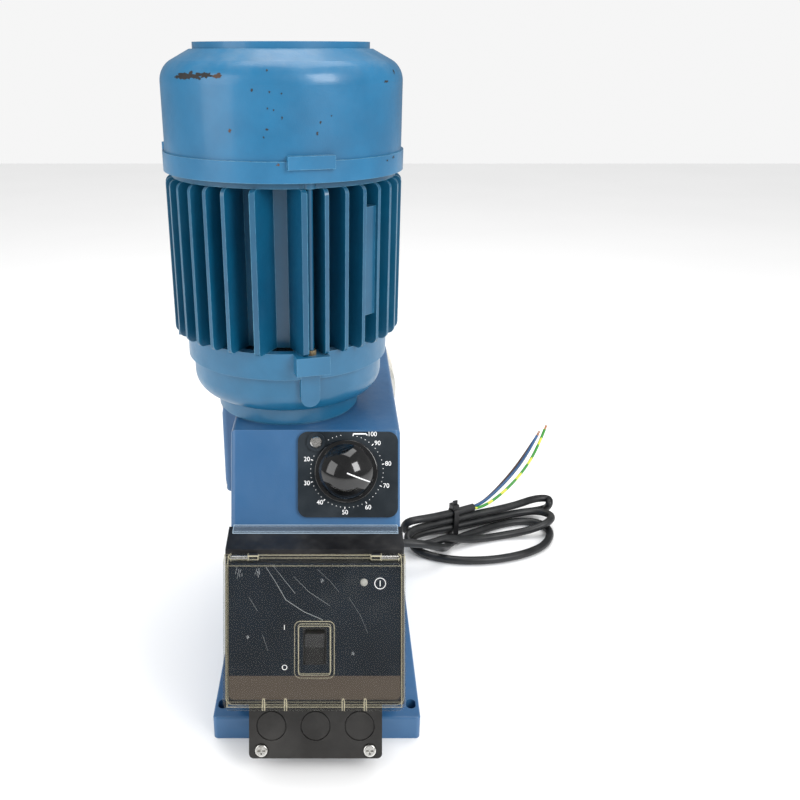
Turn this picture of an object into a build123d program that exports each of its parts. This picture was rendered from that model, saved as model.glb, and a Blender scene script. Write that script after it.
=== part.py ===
from build123d import *
import os
from math import cos, radians, sin, sqrt, tan

os.makedirs("parts", exist_ok=True)

# Frame: origin at the centre of the base's underside, +X right, +Y to the pump head, +Z up.
# The operating side faces -Y. All sizes are in millimetres.

# ---- fits
fit_gap = 0.05  # radial clearance of shafts, pins and pressed rings in their bores
seat_gap = 0.3  # gap between curved or moving faces of different bodies
cut_over = 1.0  # how far a cutting tool runs past the face it opens

# ---- base
base_width = 135.0
base_length = 220.0
base_thickness = 17.0
base_corner = 3.0
base_rim = 1.5
slot_width = 6.4
slot_length = 9.0
slot_inset_x = 5.5  # from the side edge to the slot's centre line
slot_inset_y = 13.0  # from the front or back edge to the slot's centre
base_bolt_radius = 3.0
base_bolt_head = 5.0
base_bolt_head_height = 6.0
base_bolt_sink = 7.0
base_bolt_grip = 12.0  # thread length in the housing
base_bolt_x = 38.0
base_bolt_y = 60.0

# ---- gear housing
tilt = 22.0  # lean of the operating face from the vertical
housing_width = 104.8
housing_top = 201.4
housing_back = 104.0
lip_y = -65.9  # top front edge of the operating face
slope_length = 150.0  # operating face, measured down the slope
nose_depth = 20.0  # thickness of the console nose at its lower end
housing_round = 3.5
housing_wall = 7.0
chamber_floor = 128.0
chamber_top = 193.0
chamber_left = 44.4
chamber_right = 40.0
chamber_front = -58.0
chamber_back = 94.0
floor_slab = 16.0
bolt_boss_radius = 9.0
bolt_boss_height = 40.0

# ---- motor
motor_x = -19.0
motor_y = -13.5
shaft_radius = 7.5
worm_shaft_radius = 6.0
adapter_radius = 45.8
adapter_height = 11.8
adapter_lip = 1.4
adapter_spigot_radius = 22.0
adapter_spigot_depth = 8.0
adapter_bore = 16.0
bell_bottom_radius = 47.0
bell_radius = 60.5
bell_rim_radius = 63.8
bell_height = 41.2
bell_round = 13.5
bell_step_height = 25.0
bell_wall = 5.0
frame_height = 94.8
fin_tip = 71.4
fin_root = 51.0
fin_thickness = 2.3
fin_step = 10.0
first_fin = 7.0  # from the front tie rod to the next fin
right_fins = 11
back_fin = 13.0  # from the back right tie rod to the next fin
back_fins = 10
left_fin = -85.0
left_fins = 7
tie_count = 3
tie_angle = 15.0  # first tie rod, from the front towards +X
tie_step = 360 / tie_count
tie_circle = 66.0
tie_radius = 1.9
fin_tip_round = 4.0
frame_bore = 46.0
channel_angle = 0.4
channel_floor = 9.0
channel_mouth = 28.3
channel_reach = 69.3
channel_wall = 3.2
pad_angle = 47.0
pad_width = 11.5
pad_low = 19.4
pad_high = 82.4
shield_radius = 67.5
shield_thickness = 3.2
cowl_band_radius = 72.0
cowl_radius = 70.6
cowl_band_height = 11.3
cowl_height = 70.3
cowl_straight = 49.3
cowl_shoulder_radius = 64.4
cowl_shoulder_drop = 9.7
cowl_collar_radius = 51.2
cowl_collar_height = 3.6
cowl_wall = 2.4
cowl_inlet = 47.5
cowl_foot = 6.8  # radial length of the blocks that carry the cowl on the upper end shield
cowl_foot_width = 12.0
cowl_foot_height = 10.0
cowl_start = 3.4  # from the top of the fins to the cowl's lower edge
block_width = 26.0
block_height = 7.0
block_drop = 4.0  # how far the block reaches down over the cowl's band
block_rise = 1.6  # how far it stands out from the band
lug_width = 20.0
lug_reach = 72.5
lug_height = 11.0
rib_width = 11.6
rib_reach = 64.0
rib_length = 17.0
grille_bar = 4.0
grille_pitch = 10.0
motor_bearing_radius = 17.5
motor_bearing_width = 11.0
core_height = 70.0
core_bore = 26.0
air_gap = 0.3
winding_height = 11.0
winding_inner = 29.0
winding_outer = 43.0
fan_radius = 60.0
fan_hub = 14.0
fan_height = 20.0
fan_blades = 7
fan_blade = 2.2
nut_radius = 3.1
nut_height = 3.0

# ---- worm drive and eccentric
module = 1.8
wheel_teeth = 30
worm_pitch_radius = 9.0
wheel_z = 162.0
wheel_face = 9.0
tooth_share = 0.34  # tooth or thread thickness at the pitch line, as a share of the pitch
worm_length = 36.0
worm_turns = 5
small_bearing_radius = 14.0
small_bearing_width = 8.0
cover_width = 65.0
cover_height = 72.0
cover_depth = 13.0
cover_corner = 6.0
cover_edge = 3.5
cover_centre_z = 163.0
cover_opening = 30.5
cover_screw_radius = 2.5
cover_screw_inset = 6.5
cover_screw_grip = 6.0
cam_radius = 13.0
cam_throw = 2.75
cam_thickness = 9.0
rod_x = 19.0
rod_radius = 6.0
yoke_size = 48.0
yoke_thickness = 10.0
nose_end = -31.0
bush_radius = 11.0
bush_flange_radius = 14.0
bush_flange = 3.0
spring_wire = 1.2
spring_radius = 10.0
spring_turns = 6

# ---- pump head
head_radius = 42.0
flange_thickness = 14.0
core_disc_radius = 16.0
core_disc_thickness = 8.0
core_recess_radius = 17.0
core_recess_depth = 10.5
diaphragm_radius = 31.0
diaphragm_thickness = 3.0
head_thickness = 30.0
head_block = 30.0
head_block_reach = 46.0
chamber_radius = 26.0
chamber_depth = 4.0
valve_axis = 17.0  # from the head's inner face to the valve axis
valve_pocket_radius = 10.0
valve_pocket_depth = 18.0
port_radius = 3.5
head_screw_circle = 36.5
head_screw_radius = 3.0
head_screw_head = 5.0
head_screw_height = 5.5
head_screw_web = 0.5
head_screw_socket = 2.8
head_screw_count = 6
ball_radius = 4.5
ball_travel = 2.0
seat_radius = 3.0
valve_chamber_radius = 5.2
valve_hex = 13.5
valve_hex_height = 8.0
thread_radius = 11.0
thread_length = 14.0
union_radius = 15.0
union_height = 16.0
tail_radii = {"suction": 6.0, "discharge": 5.0}
tail_grip = 14.0  # length that goes into the hose
tail_stem = 1.0  # how much thicker the stem behind it is
tail_length = 26.0
tail_flange_radius = 10.0
tail_flange = 3.0
tail_wall = 2.0

# ---- operating face (x across, down the slope from the top edge, out from the face)
dial_width = 61.5
dial_height = 52.6
dial_x = 19.9
dial_down = 27.3
dial_thickness = 2.0
dial_corner = 6.0
knob_x = 18.8
knob_down = 25.0
skirt_radius = 19.4
skirt_height = 3.5
skirt_round = 0.8
knob_radius = 16.8
knob_edge = 5.5  # height of the knob's side
knob_height = 15.0
knob_bore = 10.0
spindle_radius = 4.0
spindle_length = 34.5  # inside the operating face
spindle_tip_radius = 7.0
spindle_tip = 3.0
lock_x = 0.3
lock_down = 7.3
lock_head_radius = 3.5
lock_head_height = 2.4
lock_slot_width = 1.1
lock_slot_depth = 1.1
lock_slot_turn = -35.0
lock_shank_radius = 2.0
lock_collar_radius = 5.6
lock_collar_height = 1.6

# ---- control box
box_top = 59.5  # down the slope, where the box meets the operating face
box_width = housing_width + 1.6
box_fall = 0.57  # how far the box's top drops, per unit out from the face
box_depth = 19.0
box_end = slope_length - 0.2
box_sole = slope_length + 12.4
inner_depth = 22.0
box_rim = 4.0  # wall round the inside of the box
box_floor = 3.0
inner_width = box_width - 5.4
inner_top = 77.4
inner_end = slope_length + 8.6
panel_end = inner_end - 0.6
panel_thickness = 1.5
cover_out = 30.8
cover_end = box_sole + 0.3
cover_wall = 2.0
cover_round = 5.0
hinge_radius = 2.4
hinge_out = 21.6
hinge_pin_radius = 1.2
barrel_end = box_width / 2 - 3.4
barrel_start = barrel_end - 11.0
post_start = barrel_start - 5.3
flange_end = 6.0
flange_thickness_clear = 1.4
bubble_width = 22.6
bubble_height = 32.6
bubble_out = 4.0
bubble_round = 3.0
switch_x = 0.1
switch_down = 126.5
switch_width = 13.0
switch_height = 21.0
rocker_rise = 7.0
rocker_dip = 5.2
rocker_reach = 9.0
switch_tilt = 6.0
lamp_x = 29.1
lamp_down = 89.0
lamp_radius = 2.25
board_thickness = 1.6
board_inset = 6.0
board_corner = 2.2
board_play = 0.1
relay_width = 22.0
relay_height = 18.0
capacitor_radius = 6.0
board_part_height = 8.0
latch_x = 23.2
latch_width = 12.8
latch_slit = 0.8
terminal_width = 81.8
terminal_end = slope_length + 51.8
terminal_out = 1.2
terminal_depth = 19.5
terminal_wall = 2.5
lid_thickness = 2.8
knockout_radius = 9.3
knockout_pitch = 27.1
knockout_up = 20.1  # from the lid's lower edge to the knock-outs' centres
knockout_groove = 0.8
lid_screw_radius = 4.0
lid_screw_x = 33.3
lid_screw_up = 4.9
lid_screw_head = 2.0
lid_screw_grip = 11.0
lid_cross = 1.1
lid_cross_reach = 4.6
lid_cross_depth = 1.3

# ---- mains cable
cable_diameter = 7.0
gland_y = 84.0
gland_z = 30.0
gland_hex = 11.0
gland_flange = 5.0
gland_thread_radius = 8.0
gland_nut = 11.0
gland_nut_height = 5.0
core_diameter = 2.6
cable_route = [
    (57.4, 84.0, 30.0),
    (84.0, 84.0, 30.0),
    (101.0, 93.0, 20.0),
    (111.0, 112.0, 9.0),
    (112.0, 128.0, 5.5),
]
relief_start = 49.0
relief_end = 69.0
relief_tip = 4.7
coil_x = 155.4
coil_y = 129.8
coil_turn = 26.0
coil_long = 79.0
coil_short = 33.0
hole_long = 60.0
hole_short = 20.0
hole_shift = -3.0
coil_height = 28.0  # over the tied bundle at the back
coil_front_height = 8.0  # over the strands at the front
coil_slope_start = -15.0
coil_slope_end = 12.0
tie_along = -27.0  # from the coil's centre, along its long axis
tie_band = 1.2
tie_width = 4.8
core_routes = {
    "core_blue": [(143, 156, 22), (160, 168, 31), (178, 181, 44), (194, 193, 60), (205, 204, 76)],
    "core_brown": [(145, 161, 20), (163, 176, 31), (180, 190, 43), (194, 202, 56), (206, 213, 69)],
    "core_earth": [(149, 155, 21), (169, 168, 33), (188, 181, 47), (203, 195, 63), (213, 209, 80)],
}

# ---- derived places
lean = radians(tilt)
housing_half = housing_width / 2
motor_foot = housing_top + adapter_height
frame_low = motor_foot + bell_height
frame_high = frame_low + frame_height
cowl_low = frame_high + cowl_start
wheel_radius = module * wheel_teeth / 2
pitch = 3.14159265 * module
wheel_y = motor_y + worm_pitch_radius + wheel_radius
rod_z = wheel_z
console = Plane(origin=(0, lip_y, housing_top), x_dir=(1, 0, 0), z_dir=(0, -cos(lean), sin(lean)))
head_face = housing_back + flange_thickness
valve_y = head_face + valve_axis
rod_end = head_face - core_disc_thickness + diaphragm_thickness


def save(piece, name):
    """Label a finished piece and write it."""
    piece.part.label = name
    export_step(piece.part, f"parts/{name}.step")


def slope(down, out):
    """A point of the operating face's side view, as (y, z)."""
    y = lip_y - down * sin(lean) - out * cos(lean)
    return (y, housing_top - down * cos(lean) + out * sin(lean))


def motor_level(z):
    """A level plane on the motor axis."""
    return Plane(origin=(motor_x, motor_y, z))


def drive_plane(x):
    """A plane across the wheel shaft, with its local x along +Y and its local y up."""
    return Plane(origin=(x, wheel_y, wheel_z), x_dir=(0, 1, 0), z_dir=(1, 0, 0))


def head_plane(y):
    """A plane across the push rod, facing +Y, with its local y up."""
    return Plane(origin=(rod_x, y, rod_z), x_dir=(-1, 0, 0), z_dir=(0, 1, 0))


def motor_section():
    """The half-plane of the motor's turned parts: local x is the radius, local y the height."""
    return Plane(origin=(motor_x, motor_y, 0), x_dir=(1, 0, 0), z_dir=(0, -1, 0))


motor_axis = Axis((motor_x, motor_y, 0), (0, 0, 1))


def ring(plane, outer, inner, height):
    """A plain ring, bush or disc with a bore."""
    with BuildPart() as made:
        with BuildSketch(plane):
            Circle(outer)
            if inner > 0:
                Circle(inner, mode=Mode.SUBTRACT)
        extrude(amount=height)
    return made


def bearing(plane, outer, inner, width):
    """A ball bearing, with the recess between its two races on each face."""
    recess = width / 6
    with BuildPart() as made:
        with BuildSketch(plane):
            Circle(outer)
            Circle(inner, mode=Mode.SUBTRACT)
        extrude(amount=width)
        for level in (plane, plane.offset(width - recess)):
            with BuildSketch(level):
                Circle(outer - (outer - inner) * 0.3)
                Circle(inner + (outer - inner) * 0.3, mode=Mode.SUBTRACT)
            extrude(amount=recess, mode=Mode.SUBTRACT)
    return made


def group(pieces):
    """Several separate solids as one node."""
    with BuildPart() as made:
        for piece in pieces:
            add(piece.part)
    return made


def headed_screw(plane, head, head_height, shank, grip):
    """A screw whose head stands on the plane, with its shank behind it."""
    with BuildPart() as made:
        with BuildSketch(plane):
            Circle(head)
        extrude(amount=head_height)
        with BuildSketch(plane):
            Circle(shank)
        extrude(amount=-grip)
    return made


# ---- base plate
base_slots_x = base_width / 2 - slot_inset_x
base_slots_y = base_length / 2 - slot_inset_y
with BuildPart() as base_plate:
    with BuildSketch():
        RectangleRounded(base_width, base_length, base_corner)
    extrude(amount=base_thickness)
    fillet(base_plate.faces().sort_by(Axis.Z)[-1].edges(), base_rim)
    with BuildSketch():
        with GridLocations(2 * base_slots_x, 2 * base_slots_y, 2, 2):
            SlotOverall(slot_length, slot_width, rotation=90)
        with GridLocations(2 * base_bolt_x, 2 * base_bolt_y, 2, 2):
            Circle(base_bolt_radius + fit_gap)
    extrude(amount=base_thickness, mode=Mode.SUBTRACT)
    with BuildSketch():
        with GridLocations(2 * base_bolt_x, 2 * base_bolt_y, 2, 2):
            Circle(base_bolt_head + 0.5)
    extrude(amount=base_bolt_sink, mode=Mode.SUBTRACT)
save(base_plate, "base_plate")

with BuildPart() as base_bolts:
    with BuildSketch(Plane.XY.offset(base_bolt_sink - base_bolt_head_height)):
        with GridLocations(2 * base_bolt_x, 2 * base_bolt_y, 2, 2):
            Circle(base_bolt_head)
            RegularPolygon(base_bolt_radius - 0.5, 6, mode=Mode.SUBTRACT)
    extrude(amount=base_bolt_head_height / 2)
    with BuildSketch(Plane.XY.offset(base_bolt_sink - base_bolt_head_height / 2)):
        with GridLocations(2 * base_bolt_x, 2 * base_bolt_y, 2, 2):
            Circle(base_bolt_head)
    extrude(amount=base_bolt_head_height / 2)
    with BuildSketch(Plane.XY.offset(base_bolt_sink)):
        with GridLocations(2 * base_bolt_x, 2 * base_bolt_y, 2, 2):
            Circle(base_bolt_radius)
    extrude(amount=base_thickness - base_bolt_sink + base_bolt_grip)
save(base_bolts, "base_bolts")

# ---- gear housing: a cast console with an oil-tight gear chamber over an open pedestal
nose = slope(slope_length, 0)
toe = slope(slope_length, -nose_depth)
pedestal_top = chamber_floor - floor_slab
inner_slope_top = (housing_top - housing_wall * sin(lean) - pedestal_top) / cos(lean)
inner_slope_end = slope_length - housing_wall
with BuildPart() as gear_housing:
    with BuildSketch(Plane.YZ):
        with BuildLine():
            Polyline(
                (lip_y, housing_top),
                (housing_back, housing_top),
                (housing_back, base_thickness),
                (toe[0], base_thickness),
                toe,
                nose,
                close=True,
            )
        make_face()
    extrude(amount=housing_half, both=True)
    rims = gear_housing.faces().filter_by(Axis.X).edges()
    fillet(rims.filter_by(lambda edge: edge.center().Z > base_thickness + 1), housing_round)
    with BuildSketch(Plane.XY.offset(chamber_floor)):
        with Locations(((chamber_right - chamber_left) / 2, (chamber_front + chamber_back) / 2)):
            Rectangle(chamber_left + chamber_right, chamber_back - chamber_front)
    extrude(amount=chamber_top - chamber_floor, mode=Mode.SUBTRACT)
    with BuildSketch(Plane.YZ):
        with BuildLine():
            Polyline(
                (housing_back - housing_wall, base_thickness),
                (housing_back - housing_wall, pedestal_top),
                slope(inner_slope_top, -housing_wall),
                slope(inner_slope_end, -housing_wall),
                (toe[0] + housing_wall, toe[1] + housing_wall),
                (toe[0] + housing_wall, base_thickness),
                close=True,
            )
        make_face()
    extrude(amount=housing_half - housing_wall, both=True, mode=Mode.SUBTRACT)
    with BuildSketch(Plane.XY.offset(base_thickness)):
        with GridLocations(2 * base_bolt_x, 2 * base_bolt_y, 2, 2):
            Circle(bolt_boss_radius)
    extrude(amount=bolt_boss_height)
    with BuildSketch(Plane.XY.offset(base_thickness)):
        with GridLocations(2 * base_bolt_x, 2 * base_bolt_y, 2, 2):
            Circle(base_bolt_radius + fit_gap)
    extrude(amount=base_bolt_grip + cut_over, mode=Mode.SUBTRACT)
    # seat of the motor adapter, and the worm's lower bearing
    with BuildSketch(motor_level(chamber_top)):
        Circle(adapter_spigot_radius + fit_gap)
    extrude(amount=housing_top - chamber_top, mode=Mode.SUBTRACT)
    with BuildSketch(motor_level(chamber_floor - small_bearing_width)):
        Circle(small_bearing_radius + fit_gap)
    extrude(amount=small_bearing_width, mode=Mode.SUBTRACT)
    # wheel opening on the left, blind bearing seat on the right
    with BuildSketch(drive_plane(-housing_half)):
        Circle(cover_opening)
    extrude(amount=housing_half - chamber_left, mode=Mode.SUBTRACT)
    with BuildSketch(drive_plane(chamber_right)):
        Circle(small_bearing_radius + fit_gap)
    extrude(amount=small_bearing_width, mode=Mode.SUBTRACT)
    with BuildSketch(Plane(origin=(-housing_half, wheel_y, cover_centre_z), x_dir=(0, 1, 0), z_dir=(1, 0, 0))):
        with GridLocations(cover_width - 2 * cover_screw_inset, cover_height - 2 * cover_screw_inset, 2, 2):
            Circle(cover_screw_radius + fit_gap)
    extrude(amount=cover_screw_grip, mode=Mode.SUBTRACT)
    # push rod guide in the back wall, stroke spindle in the front wall, cable gland low on the right
    with BuildSketch(head_plane(chamber_back)):
        Circle(bush_radius + fit_gap)
    extrude(amount=housing_back - chamber_back, mode=Mode.SUBTRACT)
    with BuildSketch(console):
        with Locations((knob_x, -knob_down)):
            Circle(spindle_radius + fit_gap)
    extrude(amount=-spindle_length, mode=Mode.SUBTRACT)
    with BuildSketch(Plane(origin=(housing_half, gland_y, gland_z), x_dir=(0, 1, 0), z_dir=(1, 0, 0))):
        Circle(gland_thread_radius + fit_gap)
    extrude(amount=-housing_wall, mode=Mode.SUBTRACT)
save(gear_housing, "gear_housing")

# ---- gear cover on the left, with the wheel shaft's left bearing in it
cover_face = Plane(origin=(-housing_half, wheel_y, cover_centre_z), x_dir=(0, -1, 0), z_dir=(-1, 0, 0))
cover_screw_spots = (cover_width - 2 * cover_screw_inset, cover_height - 2 * cover_screw_inset, 2, 2)
with BuildPart() as gear_cover:
    with BuildSketch(cover_face):
        RectangleRounded(cover_width, cover_height, cover_corner)
    extrude(amount=cover_depth)
    fillet(gear_cover.faces().sort_by(Axis.X)[0].edges(), cover_edge)
    with BuildSketch(cover_face):
        with Locations((0, wheel_z - cover_centre_z)):
            Circle(small_bearing_radius + fit_gap)
    extrude(amount=small_bearing_width, mode=Mode.SUBTRACT)
    with BuildSketch(cover_face):
        with GridLocations(*cover_screw_spots):
            Circle(cover_screw_radius + fit_gap)
    extrude(amount=cover_depth, mode=Mode.SUBTRACT)
    with BuildSketch(cover_face.offset(cover_depth)):
        with GridLocations(*cover_screw_spots):
            Circle(cover_screw_radius * 2 + 0.5)
    extrude(amount=-cover_edge - 0.5, mode=Mode.SUBTRACT)
save(gear_cover, "gear_cover")

with BuildPart() as cover_screws:
    with BuildSketch(cover_face.offset(cover_depth - cover_edge - 0.5)):
        with GridLocations(*cover_screw_spots):
            Circle(cover_screw_radius * 2)
            RegularPolygon(cover_screw_radius, 6, mode=Mode.SUBTRACT)
    extrude(amount=cover_edge)
    with BuildSketch(cover_face.offset(cover_depth - cover_edge - 0.5)):
        with GridLocations(*cover_screw_spots):
            Circle(cover_screw_radius)
    extrude(amount=-(cover_depth - cover_edge + cover_screw_grip - 1.0))
    with BuildSketch(cover_face.offset(cover_depth - cover_edge - 0.5)):
        with GridLocations(*cover_screw_spots):
            Circle(cover_screw_radius * 1.2)
    extrude(amount=0.6)
save(cover_screws, "gear_cover_screws")

# ---- worm, worm wheel, eccentric and their shaft
shaft_left = -housing_half - small_bearing_width + seat_gap
shaft_right = chamber_right + small_bearing_width - seat_gap
save(ring(drive_plane(shaft_left), worm_shaft_radius, 0, shaft_right - shaft_left), "wheel_shaft")

left_bearing = bearing(
    drive_plane(-housing_half - small_bearing_width),
    small_bearing_radius,
    worm_shaft_radius + fit_gap,
    small_bearing_width,
)
right_bearing = bearing(
    drive_plane(chamber_right), small_bearing_radius, worm_shaft_radius + fit_gap, small_bearing_width
)
worm_foot_bearing = bearing(
    motor_level(chamber_floor - small_bearing_width),
    small_bearing_radius,
    worm_shaft_radius + fit_gap,
    small_bearing_width,
)
save(group([left_bearing, right_bearing, worm_foot_bearing]), "drive_bearings")

tooth_half = tooth_share * pitch / 2
with BuildSketch() as wheel_tooth:
    with BuildLine():
        Polyline(
            (wheel_radius - 1.5 * module, -tooth_half * 1.5),
            (wheel_radius + module, -tooth_half * 0.6),
            (wheel_radius + module, tooth_half * 0.6),
            (wheel_radius - 1.5 * module, tooth_half * 1.5),
            close=True,
        )
    make_face()
with BuildPart() as worm_wheel:
    with BuildSketch(drive_plane(motor_x - wheel_face / 2)):
        Circle(wheel_radius - 1.25 * module)
        with PolarLocations(0, wheel_teeth):
            add(wheel_tooth.sketch)
        Circle(worm_shaft_radius + fit_gap, mode=Mode.SUBTRACT)
    extrude(amount=wheel_face)
    with BuildSketch(drive_plane(motor_x - wheel_face / 2 - 4)):
        Circle(11)
        Circle(worm_shaft_radius + fit_gap, mode=Mode.SUBTRACT)
    extrude(amount=wheel_face + 8)
save(worm_wheel, "worm_wheel")

core_radius = worm_pitch_radius - 1.25 * module
thread_depth = 2.25 * module
thread_sink = 0.3
thread_length_worm = worm_turns * pitch
thread_start = wheel_z + pitch / 4 - 3 * pitch
with BuildPart() as worm:
    with BuildLine(motor_level(thread_start)):
        Helix(pitch, thread_length_worm, core_radius - thread_sink)
    section_origin = (motor_x + core_radius - thread_sink, motor_y, thread_start)
    with BuildSketch(Plane(origin=section_origin, x_dir=(1, 0, 0), z_dir=(0, 1, 0))):
        with BuildLine():
            Polyline(
                (0, -tooth_half * 1.5),
                (thread_sink + thread_depth, -tooth_half * 0.6),
                (thread_sink + thread_depth, tooth_half * 0.6),
                (0, tooth_half * 1.5),
                close=True,
            )
        make_face()
    sweep(is_frenet=True)
    with BuildSketch(motor_level(wheel_z - worm_length / 2)):
        Circle(core_radius)
    extrude(amount=worm_length)
    with BuildSketch(motor_level(wheel_z - worm_length / 2)):
        Circle(worm_shaft_radius)
    extrude(amount=worm_length, mode=Mode.SUBTRACT)
save(worm, "worm")

with BuildPart() as eccentric_cam:
    with BuildSketch(drive_plane(rod_x - cam_thickness / 2)):
        with Locations((-cam_throw, 0)):
            Circle(cam_radius)
        Circle(worm_shaft_radius + fit_gap, mode=Mode.SUBTRACT)
    extrude(amount=cam_thickness)
save(eccentric_cam, "eccentric_cam")

# ---- push rod: a yoke round the eccentric, with a nose for the stroke stop
window_reach = cam_radius + cam_throw + seat_gap
with BuildPart() as push_rod:
    with BuildSketch(drive_plane(rod_x - yoke_thickness / 2)):
        RectangleRounded(yoke_size, yoke_size, 5)
        RectangleRounded(2 * window_reach, 2 * window_reach + 1, 2, mode=Mode.SUBTRACT)
    extrude(amount=yoke_thickness)
    with BuildSketch(head_plane(wheel_y + yoke_size / 2 - 1)):
        Circle(rod_radius)
    extrude(amount=rod_end - wheel_y - yoke_size / 2 + 1)
    with BuildSketch(head_plane(nose_end)):
        Circle(rod_radius)
    extrude(amount=wheel_y - yoke_size / 2 + 1 - nose_end)
    fillet(push_rod.faces().sort_by(Axis.Y)[0].edges(), rod_radius / 2)
save(push_rod, "push_rod")

with BuildPart() as guide_bush:
    with BuildSketch(head_plane(chamber_back - bush_flange)):
        Circle(bush_flange_radius)
    extrude(amount=bush_flange)
    with BuildSketch(head_plane(chamber_back - bush_flange)):
        Circle(bush_radius)
    extrude(amount=housing_back - chamber_back + bush_flange)
    with BuildSketch(head_plane(chamber_back - bush_flange)):
        Circle(rod_radius + fit_gap)
    extrude(amount=housing_back, mode=Mode.SUBTRACT)
save(guide_bush, "guide_bush")

spring_start = wheel_y + yoke_size / 2 + spring_wire + seat_gap
spring_length = chamber_back - bush_flange - spring_wire - seat_gap - spring_start
with BuildPart() as spring_blank:
    with BuildLine():
        Helix(spring_length / spring_turns, spring_length, spring_radius)
    with BuildSketch(Plane(origin=(spring_radius, 0, 0), x_dir=(1, 0, 0), z_dir=(0, 1, 0))):
        Rectangle(2 * spring_wire, 2 * spring_wire)
    sweep(is_frenet=True)
with BuildPart() as return_spring:
    with Locations((rod_x, spring_start, rod_z)):
        add(spring_blank.part, rotation=(-90, 0, 0))
save(return_spring, "return_spring")

# ---- diaphragm and pump head
with BuildPart() as support_flange:
    with BuildSketch(head_plane(housing_back)):
        Circle(head_radius)
    extrude(amount=flange_thickness)
    with BuildSketch(head_plane(housing_back)):
        Circle(rod_radius + 1)
        with PolarLocations(head_screw_circle, head_screw_count):
            Circle(head_screw_radius + fit_gap)
    extrude(amount=flange_thickness, mode=Mode.SUBTRACT)
    with BuildSketch(head_plane(head_face - core_recess_depth)):
        Circle(core_recess_radius)
    extrude(amount=core_recess_depth, mode=Mode.SUBTRACT)
save(support_flange, "support_flange")

diaphragm_face = head_face + diaphragm_thickness
with BuildPart() as diaphragm_core:
    with BuildSketch(head_plane(diaphragm_face - core_disc_thickness)):
        Circle(core_disc_radius)
    extrude(amount=core_disc_thickness)
    fillet(diaphragm_core.faces().sort_by(Axis.Y)[-1].edges(), 1.5)
save(diaphragm_core, "diaphragm_core")

save(
    ring(head_plane(head_face), diaphragm_radius, core_disc_radius + seat_gap, diaphragm_thickness),
    "diaphragm",
)

with BuildPart() as dosing_head:
    with BuildSketch(head_plane(head_face)):
        Circle(head_radius)
        Rectangle(head_block, 2 * head_block_reach)
    extrude(amount=head_thickness)
    with BuildSketch(head_plane(head_face)):
        Circle(diaphragm_radius + fit_gap)
    extrude(amount=diaphragm_thickness, mode=Mode.SUBTRACT)
    with BuildSketch(head_plane(diaphragm_face)):
        Circle(chamber_radius)
    extrude(amount=chamber_depth, mode=Mode.SUBTRACT)
    with BuildSketch(head_plane(diaphragm_face)):
        SlotOverall(2 * valve_pocket_radius + 8, 2 * port_radius, rotation=90)
    extrude(amount=valve_y + port_radius - diaphragm_face, mode=Mode.SUBTRACT)
    for up in (1, -1):
        seat = Plane(origin=(rod_x, valve_y, rod_z + up * head_block_reach), z_dir=(0, 0, -up))
        with BuildSketch(seat):
            Circle(valve_pocket_radius + fit_gap)
        extrude(amount=valve_pocket_depth, mode=Mode.SUBTRACT)
        with BuildSketch(seat):
            Circle(port_radius)
        extrude(amount=head_block_reach - valve_pocket_radius, mode=Mode.SUBTRACT)
    with BuildSketch(head_plane(head_face)):
        with PolarLocations(head_screw_circle, head_screw_count):
            Circle(head_screw_radius + fit_gap)
    extrude(amount=head_thickness, mode=Mode.SUBTRACT)
    outer_rim = dosing_head.faces().sort_by(Axis.Y)[-1].outer_wire().edges()
    chamfer(outer_rim, 1.5)
save(dosing_head, "dosing_head")

with BuildPart() as head_screws:
    with BuildSketch(head_plane(head_face + head_thickness)):
        with PolarLocations(head_screw_circle, head_screw_count):
            Circle(head_screw_head)
            RegularPolygon(head_screw_socket, 6, mode=Mode.SUBTRACT)
    extrude(amount=head_screw_height)
    with BuildSketch(head_plane(head_face + head_thickness)):
        with PolarLocations(head_screw_circle, head_screw_count):
            Circle(head_screw_head)
    extrude(amount=head_screw_web)
    with BuildSketch(head_plane(head_face + head_thickness)):
        with PolarLocations(head_screw_circle, head_screw_count):
            Circle(head_screw_radius)
    extrude(amount=-head_thickness - flange_thickness + seat_gap)
save(head_screws, "head_screws")


def valve_plane(z):
    """The half-plane of a turned valve part: local x is the radius, local y the height above z."""
    return Plane(origin=(rod_x, valve_y, z), x_dir=(1, 0, 0), z_dir=(0, -1, 0))


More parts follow.
